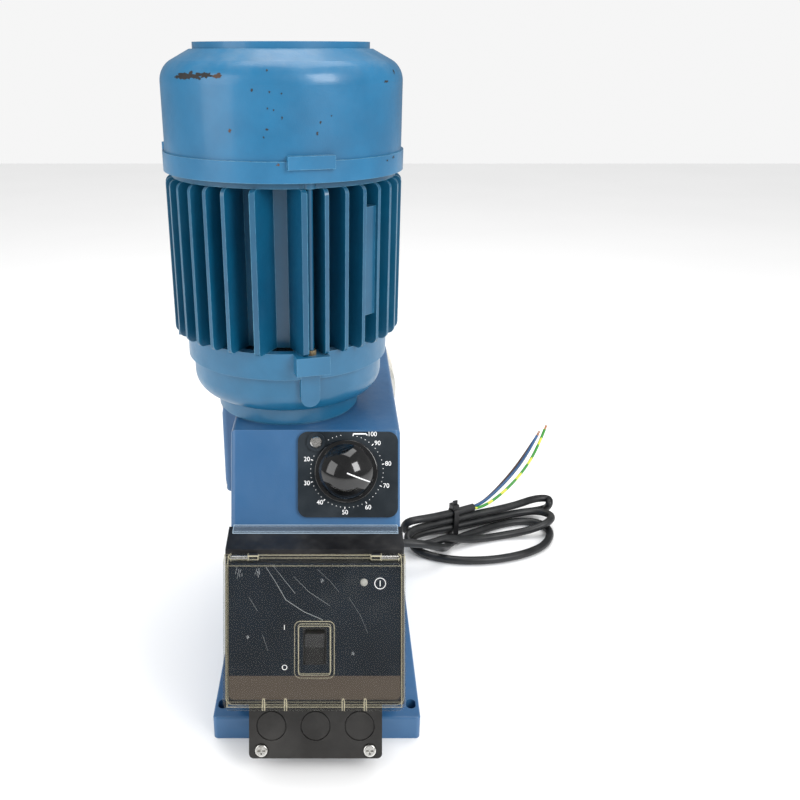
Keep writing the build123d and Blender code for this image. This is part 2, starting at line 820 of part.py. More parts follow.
ball_rise = sqrt(ball_radius**2 - seat_radius**2) + 0.05
valve_chamber = ball_rise + ball_radius + ball_travel + 0.2
valve_bottom = {
    "suction": rod_z - head_block_reach - valve_hex_height - thread_length,
    "discharge": rod_z + head_block_reach - valve_pocket_depth + 0.5,
}
seat_level = {
    "suction": rod_z - head_block_reach - valve_hex_height,
    "discharge": rod_z + head_block_reach - valve_pocket_depth + 4.5,
}
valve_length = valve_pocket_depth - 0.5 + valve_hex_height + thread_length
valves, union_nuts, hose_tails = [], [], []
for side, up in (("discharge", 1), ("suction", -1)):
    low = valve_bottom[side]
    hex_low = rod_z + head_block_reach if up > 0 else rod_z - head_block_reach - valve_hex_height
    with BuildPart() as valve:
        with BuildSketch(Plane(origin=(rod_x, valve_y, low))):
            Circle(valve_pocket_radius if up > 0 else thread_radius)
        extrude(amount=valve_length)
        if up > 0:
            with BuildSketch(Plane(origin=(rod_x, valve_y, hex_low))):
                Circle(thread_radius)
            extrude(amount=valve_hex_height + thread_length)
        else:
            with BuildSketch(Plane(origin=(rod_x, valve_y, rod_z - head_block_reach))):
                Circle(thread_radius + 1)
                Circle(valve_pocket_radius, mode=Mode.SUBTRACT)
            extrude(amount=valve_pocket_depth, mode=Mode.SUBTRACT)
        with BuildSketch(Plane(origin=(rod_x, valve_y, hex_low))):
            RegularPolygon(valve_hex, 6)
        extrude(amount=valve_hex_height)
        with BuildSketch(Plane(origin=(rod_x, valve_y, low))):
            Circle(seat_radius)
        extrude(amount=valve_length, mode=Mode.SUBTRACT)
        with BuildSketch(Plane(origin=(rod_x, valve_y, seat_level[side]))):
            Circle(valve_chamber_radius)
        extrude(amount=valve_chamber, mode=Mode.SUBTRACT)
    valves.append(valve)
    with BuildPart() as ball:
        with Locations((rod_x, valve_y, seat_level[side] + ball_rise)):
            Sphere(ball_radius)
    save(ball, f"{side}_ball")
    mouth = low + valve_length if up > 0 else low
    thread_end = Plane(origin=(rod_x, valve_y, mouth), z_dir=(0, 0, up))
    with BuildPart() as nut:
        with BuildSketch(thread_end.offset(tail_flange + 2)):
            Circle(union_radius)
        extrude(amount=-union_height)
        chamfer(nut.edges().filter_by(GeomType.CIRCLE), 1)
        with BuildSketch(thread_end):
            Circle(thread_radius + fit_gap)
        extrude(amount=tail_flange + seat_gap / 3, mode=Mode.SUBTRACT)
        with BuildSketch(thread_end):
            Circle(thread_radius + fit_gap)
        extrude(amount=-union_height, mode=Mode.SUBTRACT)
        with BuildSketch(thread_end):
            Circle(tail_radii[side] + tail_stem + 0.5)
        extrude(amount=union_height, mode=Mode.SUBTRACT)
    union_nuts.append(nut)
    with BuildPart() as tail:
        with BuildSketch(thread_end):
            Circle(tail_flange_radius)
        extrude(amount=tail_flange)
        with BuildSketch(thread_end):
            Circle(tail_radii[side] + tail_stem)
        extrude(amount=tail_length - tail_grip)
        with BuildSketch(thread_end):
            Circle(tail_radii[side])
        extrude(amount=tail_length)
        with BuildSketch(thread_end):
            Circle(tail_radii[side] - tail_wall)
        extrude(amount=tail_length, mode=Mode.SUBTRACT)
    hose_tails.append(tail)
save(group(valves), "check_valves")
save(group(union_nuts), "union_nuts")
save(group(hose_tails), "hose_tails")

# ---- operating face: dial plate, stroke knob, its spindle and the lock screw
knob_plane = Plane(
    origin=console.from_local_coords((knob_x, -knob_down, 0)), x_dir=(1, 0, 0), z_dir=console.z_dir
)
with BuildPart() as dial_plate:
    with BuildSketch(console):
        with Locations((dial_x, -dial_down)):
            RectangleRounded(dial_width, dial_height, dial_corner)
    extrude(amount=dial_thickness)
    with BuildSketch(console):
        with Locations((knob_x, -knob_down)):
            Circle(spindle_radius + 1)
        with Locations((lock_x, -lock_down)):
            Circle(lock_head_radius - 1)
    extrude(amount=dial_thickness, mode=Mode.SUBTRACT)
    with BuildSketch(console.offset(dial_thickness)):
        with Locations((lock_x, -lock_down)):
            Circle(lock_collar_radius)
            Circle(lock_head_radius + seat_gap, mode=Mode.SUBTRACT)
    extrude(amount=lock_collar_height)
save(dial_plate, "dial_plate")

knob_seat = knob_plane.offset(dial_thickness + seat_gap)
dome_rise = knob_height - knob_edge
dome_radius = (knob_radius**2 + dome_rise**2) / (2 * dome_rise)
dome_side = knob_radius / 2
dome_level = knob_height - dome_radius + sqrt(dome_radius**2 - dome_side**2)
with BuildPart() as stroke_knob:
    with BuildSketch(knob_seat):
        Circle(skirt_radius)
    extrude(amount=skirt_height)
    fillet(stroke_knob.edges().filter_by(GeomType.CIRCLE).sort_by(Axis(knob_seat.origin, knob_seat.z_dir))[-1], skirt_round)
    with BuildSketch(Plane(origin=knob_seat.origin, x_dir=(1, 0, 0), z_dir=(0, -sin(lean), -cos(lean)))):
        with BuildLine():
            ThreePointArc((knob_radius, knob_edge), (dome_side, dome_level), (0, knob_height))
            Polyline((0, knob_height), (0, 0), (knob_radius, 0), (knob_radius, knob_edge))
        make_face()
    revolve(axis=Axis(knob_seat.origin, knob_seat.z_dir))
    with BuildSketch(knob_seat):
        Circle(spindle_radius + fit_gap)
    extrude(amount=knob_bore, mode=Mode.SUBTRACT)
save(stroke_knob, "stroke_knob")

with BuildPart() as stroke_spindle:
    with BuildSketch(knob_plane.offset(-spindle_length)):
        Circle(spindle_radius)
    extrude(amount=spindle_length + dial_thickness + knob_height / 2)
    with BuildSketch(knob_plane.offset(-spindle_length)):
        Circle(spindle_tip_radius)
    extrude(amount=spindle_tip)
save(stroke_spindle, "stroke_spindle")

lock_plane = Plane(origin=console.from_local_coords((lock_x, -lock_down, 0)), x_dir=(1, 0, 0), z_dir=console.z_dir)
with BuildPart() as lock_screw:
    with BuildSketch(lock_plane.offset(dial_thickness + fit_gap)):
        Circle(lock_head_radius)
    extrude(amount=lock_head_height)
    chamfer(lock_screw.edges().filter_by(GeomType.CIRCLE).sort_by(Axis(lock_plane.origin, lock_plane.z_dir))[-1], 0.6)
    with BuildSketch(lock_plane.offset(dial_thickness + fit_gap + lock_head_height - lock_slot_depth)):
        Rectangle(2 * lock_head_radius + cut_over, lock_slot_width, rotation=lock_slot_turn)
    extrude(amount=lock_slot_depth + cut_over, mode=Mode.SUBTRACT)
    with BuildSketch(lock_plane.offset(fit_gap)):
        Circle(lock_shank_radius)
    extrude(amount=dial_thickness)
save(lock_screw, "lock_screw")


# ---- control box: black body, panel, switch, lamp, board, clear frame and hinged cover
def box_line(out):
    """How far down the slope the box's top lies, at a distance out from the face."""
    return box_top + box_fall * out


hinge_down = box_line(hinge_out) + hinge_radius * sqrt(1 + box_fall**2)
fall_length = sqrt(1 + box_fall**2)
foot = (hinge_down - hinge_radius / fall_length, hinge_out + hinge_radius * box_fall / fall_length)
side_plane = Plane(origin=(0, lip_y, housing_top), x_dir=(0, -sin(lean), -cos(lean)), z_dir=(-1, 0, 0))
roof_drop = cover_wall * fall_length
cover_inside = cover_out - cover_wall
with BuildPart() as control_box:
    with BuildSketch(Plane.YZ):
        with BuildLine():
            Polyline(
                slope(box_line(0), 0),
                slope(box_line(box_depth), box_depth),
                slope(box_sole, box_depth),
                slope(box_sole - 3, 8),
                slope(box_end + 2, 3),
                slope(box_end, terminal_out + seat_gap),
                slope(box_end, 0),
                close=True,
            )
        make_face()
    extrude(amount=box_width / 2, both=True)
    rims = control_box.faces().filter_by(Axis.X).edges()
    fillet(rims.filter_by(lambda edge: edge.length > 20).sort_by(Axis.Y)[:1], 1.5)
    with BuildSketch(console.offset(box_depth)):
        with Locations((0, -(inner_top + inner_end) / 2)):
            RectangleRounded(inner_width, inner_end - inner_top, 3)
    extrude(amount=inner_depth - box_depth)
    with BuildSketch(console.offset(inner_depth)):
        with Locations((0, -(inner_top + inner_end) / 2)):
            RectangleRounded(inner_width - 2 * box_rim, inner_end - inner_top - 2 * box_rim, box_rim / 2)
    extrude(amount=box_floor - inner_depth, mode=Mode.SUBTRACT)
    for hand in (-1, 1):
        with BuildSketch(Plane.YZ.offset(hand * (post_start + barrel_start) / 2)):
            with BuildLine():
                Polyline(
                    slope(hinge_down - 1, box_depth - 1),
                    slope(hinge_down - 1, hinge_out),
                    slope(hinge_down + hinge_radius, hinge_out),
                    slope(hinge_down + hinge_radius, box_depth - 1),
                    close=True,
                )
            make_face()
            with Locations(slope(hinge_down, hinge_out)):
                Circle(hinge_radius)
                Circle(hinge_pin_radius, mode=Mode.SUBTRACT)
        extrude(amount=(barrel_start - post_start) / 2 - fit_gap, both=True)
save(control_box, "control_box")

panel_middle = -(inner_top + panel_end) / 2
with BuildPart() as front_panel:
    with BuildSketch(console.offset(inner_depth)):
        with Locations((0, panel_middle)):
            RectangleRounded(inner_width, panel_end - inner_top, 3)
        with Locations((switch_x, -switch_down)):
            Rectangle(switch_width + 1, switch_height + 1, mode=Mode.SUBTRACT)
        with Locations((lamp_x, -lamp_down)):
            Circle(lamp_radius + fit_gap, mode=Mode.SUBTRACT)
    extrude(amount=panel_thickness)
save(front_panel, "front_panel")

board_width = inner_width - 2 * box_rim - 2 * board_play
board_height = inner_end - inner_top - 2 * box_rim - 2 * board_play
board_middle = -(inner_top + inner_end) / 2
with BuildPart() as circuit_board:
    with BuildSketch(console.offset(inner_depth - board_inset)):
        with Locations((0, -(inner_top + inner_end) / 2)):
            RectangleRounded(board_width, board_height, board_corner)
        with Locations((switch_x, -switch_down)):
            Rectangle(switch_width + 2, switch_height + 2, mode=Mode.SUBTRACT)
    extrude(amount=-board_thickness)
    with BuildSketch(console.offset(inner_depth - board_inset - board_thickness)):
        with Locations((-board_width * 0.3, board_middle + board_height * 0.2)):
            Circle(capacitor_radius)
        with Locations((board_width * 0.28, board_middle + board_height * 0.1)):
            Rectangle(relay_width, relay_height)
    extrude(amount=-board_part_height)
save(circuit_board, "circuit_board")

with BuildPart() as indicator_lamp:
    with BuildSketch(console.offset(inner_depth - board_inset + 0.2)):
        with Locations((lamp_x, -lamp_down)):
            Circle(lamp_radius)
    extrude(amount=board_inset + panel_thickness + 1.5)
    lamp_top = indicator_lamp.edges().filter_by(GeomType.CIRCLE).sort_by(Axis(console.origin, console.z_dir))[-1]
    fillet(lamp_top, lamp_radius * 0.8)
save(indicator_lamp, "indicator_lamp")

switch_plane = Plane(
    origin=console.from_local_coords((switch_x, -switch_down, inner_depth)), x_dir=(1, 0, 0), z_dir=console.z_dir
)
with BuildPart() as switch_body:
    with BuildSketch(switch_plane.offset(-12)):
        Rectangle(switch_width + 0.9, switch_height + 0.9)
        Rectangle(switch_width - 1.2, switch_height - 1.2, mode=Mode.SUBTRACT)
    extrude(amount=12 + panel_thickness - 0.1)
    with BuildSketch(switch_plane.offset(-13.5)):
        Rectangle(switch_width + 0.9, switch_height + 0.9)
    extrude(amount=1.5)
    with BuildSketch(Plane(origin=switch_plane.offset(-3).origin, x_dir=(0, 1, 0), z_dir=(1, 0, 0))):
        Circle(1.5 + fit_gap)
    extrude(amount=switch_width / 2 + 0.2 + fit_gap, both=True, mode=Mode.SUBTRACT)
save(switch_body, "switch_body")

rocker_pivot = switch_plane.offset(-3).origin
rocker_lean = radians(tilt - switch_tilt)
rocker_side = Plane(origin=rocker_pivot, x_dir=(0, -sin(rocker_lean), -cos(rocker_lean)), z_dir=(-1, 0, 0))
with BuildPart() as rocker:
    with BuildSketch(rocker_side):
        with BuildLine():
            Polyline(
                (-rocker_reach, rocker_rise),
                (0, rocker_dip),
                (rocker_reach, rocker_rise),
                (rocker_reach - 1.5, -2),
                (1.5 - rocker_reach, -2),
                close=True,
            )
        make_face()
    extrude(amount=switch_width / 2 - 0.9, both=True)
    with BuildSketch(rocker_side):
        Circle(1.5)
    extrude(amount=switch_width / 2 + 0.2, both=True)
save(rocker, "rocker")

# ---- clear cover, hinged along the box's upper edge
with BuildPart() as clear_cover:
    with BuildSketch(side_plane):
        with BuildLine():
            Polyline(
                foot,
                (box_line(cover_out), cover_out),
                (cover_end, cover_out),
                (cover_end, box_depth + seat_gap),
                (hinge_down, box_depth + seat_gap),
                close=True,
            )
        make_face()
    extrude(amount=box_width / 2, both=True)
    sole = clear_cover.faces().sort_by(Axis((0, 0, 0), (0, -sin(lean), -cos(lean))))[-1]
    fillet(sole.edges().sort_by(Axis.X)[0::3], cover_round)
    front = clear_cover.faces().sort_by(Axis(console.origin, console.z_dir))[-1]
    fillet(front.edges(), cover_wall)
    with BuildSketch(side_plane):
        with BuildLine():
            Polyline(
                (box_line(box_depth) + roof_drop, box_depth),
                (box_line(cover_inside) + roof_drop, cover_inside),
                (cover_end - cover_wall, cover_inside),
                (cover_end - cover_wall, box_depth),
                close=True,
            )
        make_face()
    extrude(amount=box_width / 2 - cover_wall, both=True, mode=Mode.SUBTRACT)
    with BuildSketch(console.offset(cover_inside)):
        with Locations((switch_x, -switch_down)):
            RectangleRounded(bubble_width, bubble_height, bubble_round)
    extrude(amount=cover_wall + bubble_out)
    crown = clear_cover.faces().sort_by(Axis(console.origin, console.z_dir))[-1]
    fillet(crown.edges(), bubble_round / 2)
    with BuildSketch(console.offset(cover_inside)):
        with Locations((switch_x, -switch_down)):
            RectangleRounded(bubble_width - 2 * cover_wall, bubble_height - 2 * cover_wall, bubble_round / 2)
    extrude(amount=bubble_out, mode=Mode.SUBTRACT)
    for hand in (-1, 1):
        with BuildSketch(Plane.YZ.offset(hand * (barrel_start + barrel_end) / 2)):
            with Locations(slope(hinge_down, hinge_out)):
                Circle(hinge_radius)
        extrude(amount=(barrel_end - barrel_start) / 2, both=True)
        with BuildSketch(Plane.YZ.offset(hand * (post_start + barrel_start) / 2)):
            with Locations(slope(hinge_down, hinge_out)):
                Circle(hinge_radius + seat_gap)
        extrude(amount=(barrel_start - post_start) / 2 + seat_gap, both=True, mode=Mode.SUBTRACT)
        with BuildSketch(console):
            with Locations((hand * latch_x - latch_width / 2, -cover_end), (hand * latch_x + latch_width / 2, -cover_end)):
                Rectangle(latch_slit, 2 * (cover_wall + 5))
        extrude(amount=cover_out + cut_over, mode=Mode.SUBTRACT)
    with BuildSketch(Plane.YZ):
        with Locations(slope(hinge_down, hinge_out)):
            Circle(hinge_pin_radius + fit_gap)
    extrude(amount=barrel_end + cut_over, both=True, mode=Mode.SUBTRACT)
save(clear_cover, "clear_cover")

hinge_pins = []
for hand in (-1, 1):
    with BuildPart() as pin:
        with BuildSketch(Plane.YZ.offset(hand * (post_start + barrel_end) / 2)):
            with Locations(slope(hinge_down, hinge_out)):
                Circle(hinge_pin_radius)
        extrude(amount=(barrel_end - post_start) / 2, both=True)
    hinge_pins.append(pin)
save(group(hinge_pins), "hinge_pins")

with BuildPart() as hinge_flange:
    with BuildSketch(side_plane):
        with BuildLine():
            Polyline(
                (box_line(seat_gap), seat_gap),
                (box_line(flange_end), flange_end),
                (box_line(flange_end) - flange_thickness_clear, flange_end),
                (box_line(seat_gap) - flange_thickness_clear, seat_gap),
                close=True,
            )
        make_face()
    extrude(amount=inner_width / 2, both=True)
save(hinge_flange, "clear_flange")

# ---- terminal box under the console, with its knock-out lid
lid_middle = -(slope_length + terminal_end) / 2
lid_height = terminal_end - slope_length
lid_back = terminal_out - lid_thickness
with BuildPart() as terminal_box:
    with BuildSketch(console.offset(-terminal_depth)):
        with Locations((0, lid_middle)):
            RectangleRounded(terminal_width, lid_height, 3)
    extrude(amount=terminal_depth + lid_back)
    with BuildSketch(console.offset(lid_back)):
        with Locations((0, lid_middle)):
            RectangleRounded(terminal_width - 2 * terminal_wall, lid_height - 2 * terminal_wall, 2)
        with Locations(*[(hand * lid_screw_x, lid_screw_up - terminal_end) for hand in (-1, 1)]):
            Circle(lid_screw_radius, mode=Mode.SUBTRACT)
    extrude(amount=terminal_wall - terminal_depth - lid_back, mode=Mode.SUBTRACT)
    with BuildSketch(console.offset(lid_back)):
        with Locations(*[(hand * lid_screw_x, lid_screw_up - terminal_end) for hand in (-1, 1)]):
            Circle(lid_screw_radius / 2 + fit_gap)
    extrude(amount=-12, mode=Mode.SUBTRACT)
save(terminal_box, "terminal_box")

with BuildPart() as terminal_lid:
    with BuildSketch(console.offset(lid_back)):
        with Locations((0, lid_middle)):
            RectangleRounded(terminal_width, lid_height, 3)
        with Locations(*[(hand * lid_screw_x, lid_screw_up - terminal_end) for hand in (-1, 1)]):
            Circle(lid_screw_radius / 2 + fit_gap, mode=Mode.SUBTRACT)
    extrude(amount=lid_thickness)
    with BuildSketch(console.offset(terminal_out)):
        with Locations(*[(spot * knockout_pitch, knockout_up - terminal_end) for spot in (-1, 0, 1)]):
            Circle(knockout_radius)
            Circle(knockout_radius - knockout_groove, mode=Mode.SUBTRACT)
        with Locations(*[(hand * lid_screw_x, lid_screw_up - terminal_end) for hand in (-1, 1)]):
            Circle(lid_screw_radius + 0.4)
    extrude(amount=-lid_thickness / 3, mode=Mode.SUBTRACT)
save(terminal_lid, "terminal_lid")

lid_screws = []
for hand in (-1, 1):
    seat = console.from_local_coords((hand * lid_screw_x, lid_screw_up - terminal_end, terminal_out - lid_thickness / 3))
    seat_plane = Plane(origin=seat, x_dir=(1, 0, 0), z_dir=console.z_dir)
    with BuildPart() as lid_screw:
        add(headed_screw(seat_plane, lid_screw_radius, lid_screw_head, lid_screw_radius / 2, lid_screw_grip).part)
        top = lid_screw.edges().filter_by(GeomType.CIRCLE).sort_by(Axis(seat_plane.origin, seat_plane.z_dir))[-1]
        fillet(top, lid_screw_head / 2)
        with BuildSketch(seat_plane.offset(lid_screw_head)):
            Rectangle(lid_cross_reach, lid_cross)
            Rectangle(lid_cross, lid_cross_reach)
        extrude(amount=-lid_cross_depth, mode=Mode.SUBTRACT)
    lid_screws.append(lid_screw)
save(group(lid_screws), "terminal_screws")

# ---- motor
with BuildPart() as adapter_ring:
    with BuildSketch(motor_level(housing_top)):
        Circle(adapter_radius - 1.3)
    extrude(amount=adapter_lip)
    with BuildSketch(motor_level(housing_top + adapter_lip)):
        Circle(adapter_radius)
    extrude(amount=adapter_height - adapter_lip)
    with BuildSketch(motor_level(housing_top)):
        Circle(adapter_spigot_radius)
    extrude(amount=-adapter_spigot_depth)
    with BuildSketch(motor_level(housing_top - adapter_spigot_depth)):
        Circle(adapter_bore)
    extrude(amount=adapter_spigot_depth + adapter_height, mode=Mode.SUBTRACT)
save(adapter_ring, "adapter_ring")

pocket_wall = motor_bearing_radius + 6.5
with BuildPart() as lower_end_shield:
    with BuildSketch(motor_section()):
        with BuildLine():
            TangentArc(
                (bell_bottom_radius, motor_foot),
                (bell_radius, motor_foot + bell_round),
                tangent=(1, 0),
            )
            Polyline(
                (bell_radius, motor_foot + bell_round),
                (bell_radius, motor_foot + bell_step_height),
                (bell_rim_radius, motor_foot + bell_step_height),
                (bell_rim_radius, motor_foot + bell_height),
                (bell_rim_radius - bell_wall - 1, motor_foot + bell_height),
                (bell_radius - bell_wall, motor_foot + bell_step_height - 3),
                (bell_radius - bell_wall, motor_foot + bell_round),
                (bell_bottom_radius - 1, motor_foot + bell_wall),
                (pocket_wall, motor_foot + bell_wall),
                (pocket_wall, motor_foot + bell_wall + motor_bearing_width),
                (motor_bearing_radius + fit_gap, motor_foot + bell_wall + motor_bearing_width),
                (motor_bearing_radius + fit_gap, motor_foot + bell_wall),
                (shaft_radius + 1.5, motor_foot + bell_wall),
                (shaft_radius + 1.5, motor_foot),
                (bell_bottom_radius, motor_foot),
            )
        make_face()
    revolve(axis=motor_axis)
    for corner in range(tie_count):
        angle = tie_angle + tie_step * corner - 90
        with BuildSketch(motor_level(motor_foot + bell_height - lug_height)):
            with PolarLocations(0, 1, start_angle=angle):
                with Locations(((lug_reach + bell_radius) / 2, 0)):
                    Rectangle(lug_reach - bell_radius, lug_width)
        extrude(amount=lug_height)
        out = Vector(cos(radians(angle)), sin(radians(angle)), 0)
        rib_origin = Vector(motor_x, motor_y, motor_foot + bell_height - lug_height - rib_length / 2) + out * (bell_radius - 2)
        with BuildSketch(Plane(origin=rib_origin, x_dir=(-out.Y, out.X, 0), z_dir=(out.X, out.Y, 0))):
            SlotOverall(rib_length + rib_width, rib_width, rotation=90)
        extrude(amount=rib_reach - bell_radius + 2)
    with BuildSketch(motor_level(motor_foot + bell_height)):
        with PolarLocations(tie_circle, tie_count, start_angle=tie_angle - 90):
            Circle(tie_radius + fit_gap)
    extrude(amount=-lug_height + 2, mode=Mode.SUBTRACT)
save(lower_end_shield, "lower_end_shield")

fin_rows = [
    (tie_angle + first_fin, right_fins),
    (tie_angle + tie_step + back_fin, back_fins),
    (left_fin, left_fins),
]
fin_angles = [start + fin_step * k for start, count in fin_rows for k in range(count)]
channel = radians(channel_angle - 90)


def channel_plane(z):
    """A level plane on the motor axis, with its local x along the wiring channel."""
    return Plane(origin=(motor_x, motor_y, z), x_dir=(cos(channel), sin(channel), 0), z_dir=(0, 0, 1))


with BuildPart() as fin_envelope:
    with BuildSketch(motor_section()):
        with Locations((fin_tip / 2, (frame_low + frame_high) / 2)):
            Rectangle(fin_tip, frame_height)
    revolve(axis=motor_axis)
    fillet(fin_envelope.edges().filter_by(GeomType.CIRCLE), fin_tip_round)
with BuildPart() as stator_housing:
    with BuildSketch(motor_level(frame_low)):
        Circle(fin_root)
        for angle in fin_angles:
            with PolarLocations(0, 1, start_angle=angle - 90):
                Rectangle(fin_tip + 1, fin_thickness, align=(Align.MIN, Align.CENTER))
    extrude(amount=frame_height)
    for hand in (-1, 1):
        with BuildSketch(channel_plane(frame_low)):
            with BuildLine():
                Polyline(
                    (fin_root - 3, hand * (channel_floor / 2 - 2)),
                    (channel_reach, hand * (channel_mouth / 2 - channel_wall / 2)),
                    (channel_reach, hand * (channel_mouth / 2 + channel_wall / 2)),
                    (fin_root - 3, hand * (channel_floor / 2 + channel_wall - 2)),
                    close=True,
                )
            make_face()
        extrude(amount=frame_height)
    with BuildSketch(motor_level(frame_low + pad_low)):
        with PolarLocations(0, 1, start_angle=pad_angle - 90):
            Rectangle(fin_tip - 2, pad_width, align=(Align.MIN, Align.CENTER))
    extrude(amount=pad_high - pad_low)
    add(fin_envelope.part, mode=Mode.INTERSECT)
    with BuildSketch(motor_level(frame_low)):
        Circle(frame_bore)
    extrude(amount=frame_height, mode=Mode.SUBTRACT)
save(stator_housing, "stator_housing")

core_low = (frame_low + frame_high - core_height) / 2
save(ring(motor_level(core_low), frame_bore - fit_gap, core_bore, core_height), "stator_core")
windings = [
    ring(motor_level(level), winding_outer, winding_inner, winding_height)
    for level in (core_low - winding_height, core_low + core_height)
]
save(group(windings), "stator_windings")
save(ring(motor_level(core_low), core_bore - air_gap, shaft_radius + fit_gap, core_height), "rotor_core")

shaft_low = chamber_floor - small_bearing_width + seat_gap
shaft_step = housing_top + 4
fan_low = frame_high + shield_thickness + 6
shaft_high = fan_low + fan_height + 10
with BuildPart() as motor_shaft:
    with BuildSketch(motor_level(shaft_low)):
        Circle(worm_shaft_radius)
    extrude(amount=shaft_step - shaft_low)
    with BuildSketch(motor_level(shaft_step)):
        Circle(shaft_radius)
    extrude(amount=shaft_high - shaft_step)
save(motor_shaft, "motor_shaft")

lower_bearing_z = motor_foot + bell_wall
upper_bearing_z = frame_high - motor_bearing_width
motor_bearings = [
    bearing(motor_level(level), motor_bearing_radius, shaft_radius + fit_gap, motor_bearing_width)
    for level in (lower_bearing_z, upper_bearing_z)
]
save(group(motor_bearings), "motor_bearings")
with BuildPart() as upper_end_shield:
    with BuildSketch(motor_level(frame_high)):
        Circle(shield_radius)
        with PolarLocations(tie_circle, tie_count, start_angle=tie_angle - 90):
            Circle(tie_radius * 1.9)
    extrude(amount=shield_thickness)
    with BuildSketch(motor_level(frame_high)):
        Circle(pocket_wall)
    extrude(amount=-motor_bearing_width)
    with BuildSketch(motor_level(frame_high)):
        Circle(motor_bearing_radius + fit_gap)
    extrude(amount=-motor_bearing_width, mode=Mode.SUBTRACT)
    with BuildSketch(motor_level(frame_high)):
        Circle(shaft_radius + 1.5)
        with PolarLocations(tie_circle, tie_count, start_angle=tie_angle - 90):
            Circle(tie_radius + fit_gap)
    extrude(amount=shield_thickness, mode=Mode.SUBTRACT)
save(upper_end_shield, "upper_end_shield")

with BuildPart() as tie_rods:
    with BuildSketch(motor_level(frame_low - lug_height + 2.5)):
        with PolarLocations(tie_circle, tie_count, start_angle=tie_angle - 90):
            Circle(tie_radius)
    extrude(amount=lug_height - 2.5 + frame_height + shield_thickness + nut_height + 1)
save(tie_rods, "tie_rods")

with BuildPart() as tie_rod_nuts:
    for level in (frame_low, frame_high + shield_thickness):
        with BuildSketch(motor_level(level)):
            with PolarLocations(tie_circle, tie_count, start_angle=tie_angle - 90):
                RegularPolygon(nut_radius, 6)
                Circle(tie_radius + fit_gap, mode=Mode.SUBTRACT)
        extrude(amount=nut_height)
save(tie_rod_nuts, "tie_rod_nuts")

with BuildPart() as cooling_fan:
    with BuildSketch(motor_level(fan_low)):
        Circle(fan_radius * 0.8)
    extrude(amount=fan_blade)
    with BuildSketch(motor_level(fan_low)):
        Circle(fan_hub)
    extrude(amount=fan_height)
    with BuildSketch(motor_level(fan_low)):
        with PolarLocations(0, fan_blades, start_angle=8):
            with Locations((fan_hub - 1, 0)):
                Rectangle(fan_radius - fan_hub + 1, fan_blade, align=(Align.MIN, Align.CENTER))
    extrude(amount=fan_height)
    with BuildSketch(motor_level(fan_low)):
        Circle(shaft_radius + fit_gap)
    extrude(amount=fan_height, mode=Mode.SUBTRACT)
save(cooling_fan, "cooling_fan")

cowl_top = cowl_low + cowl_height
shoulder_z = cowl_top - cowl_shoulder_drop
with BuildPart() as fan_cowl:
    for inset in (0, cowl_wall):
        with BuildSketch(motor_section()):
            with BuildLine():
                Polyline(
                    (0, cowl_low),
                    (cowl_band_radius - inset, cowl_low),
                    (cowl_band_radius - inset, cowl_low + cowl_band_height),
                    (cowl_radius - inset, cowl_low + cowl_band_height),
                    (cowl_radius - inset, cowl_low + cowl_straight),
                )
                TangentArc(
                    (cowl_radius - inset, cowl_low + cowl_straight),
                    (cowl_shoulder_radius - inset, shoulder_z - inset),
                    tangent=(0, 1),
                )
                Polyline(
                    (cowl_shoulder_radius - inset, shoulder_z - inset),
                    (cowl_collar_radius + 1.8 - inset, cowl_top - cowl_collar_height - inset),
                    (cowl_collar_radius - inset, cowl_top - cowl_collar_height - inset / 2),
                    (cowl_collar_radius - inset, cowl_top - inset),
                    (0, cowl_top - inset),
                    (0, cowl_low),
                )
            make_face()
        revolve(axis=motor_axis, mode=Mode.SUBTRACT if inset else Mode.ADD)
    with BuildSketch(motor_level(cowl_top - cowl_collar_height)):
        Circle(cowl_inlet)
        with Locations(*[(0, grille_pitch * k) for k in range(-4, 5)]):
            Rectangle(2 * cowl_inlet, grille_bar, mode=Mode.SUBTRACT)
        Rectangle(grille_bar, 2 * cowl_inlet, mode=Mode.SUBTRACT)
    extrude(amount=cowl_collar_height, mode=Mode.SUBTRACT)
    with BuildSketch(motor_level(cowl_low + cowl_band_height - block_drop)):
        with PolarLocations((cowl_radius + cowl_band_radius + block_rise - 1) / 2, tie_count, start_angle=tie_angle - 90):
            Rectangle(cowl_band_radius + block_rise - cowl_radius + 1, block_width)
    extrude(amount=block_height)
    with BuildSketch(motor_level(frame_high + shield_thickness)):
        with PolarLocations(shield_radius - cowl_foot / 2 + 1.9, tie_count, start_angle=tie_angle + tie_step / 2 - 90):
            Rectangle(cowl_foot, cowl_foot_width)
    extrude(amount=cowl_foot_height)
save(fan_cowl, "fan_cowl")

# ---- mains cable: gland, strain relief, the run to the coil, the coil and its three cores
gland_face = Plane(origin=(housing_half, gland_y, gland_z), x_dir=(0, 1, 0), z_dir=(1, 0, 0))
relief_radius = 6.0
with BuildPart() as cable_gland:
    with BuildSketch(gland_face):
        RegularPolygon(gland_hex, 6)
    extrude(amount=gland_flange)
    with BuildSketch(gland_face.offset(-housing_wall - gland_nut_height)):
        Circle(gland_thread_radius)
    extrude(amount=housing_wall + gland_nut_height)
    with BuildSketch(gland_face.offset(-housing_wall - gland_nut_height)):
        Circle(relief_radius + fit_gap)
    extrude(amount=housing_wall + gland_nut_height + gland_flange, mode=Mode.SUBTRACT)

with BuildPart() as gland_locknut:
    with BuildSketch(gland_face.offset(-housing_wall)):
        RegularPolygon(gland_nut, 6)
        Circle(gland_thread_radius + fit_gap, mode=Mode.SUBTRACT)
    extrude(amount=-gland_nut_height)
save(group([cable_gland, gland_locknut]), "cable_gland")

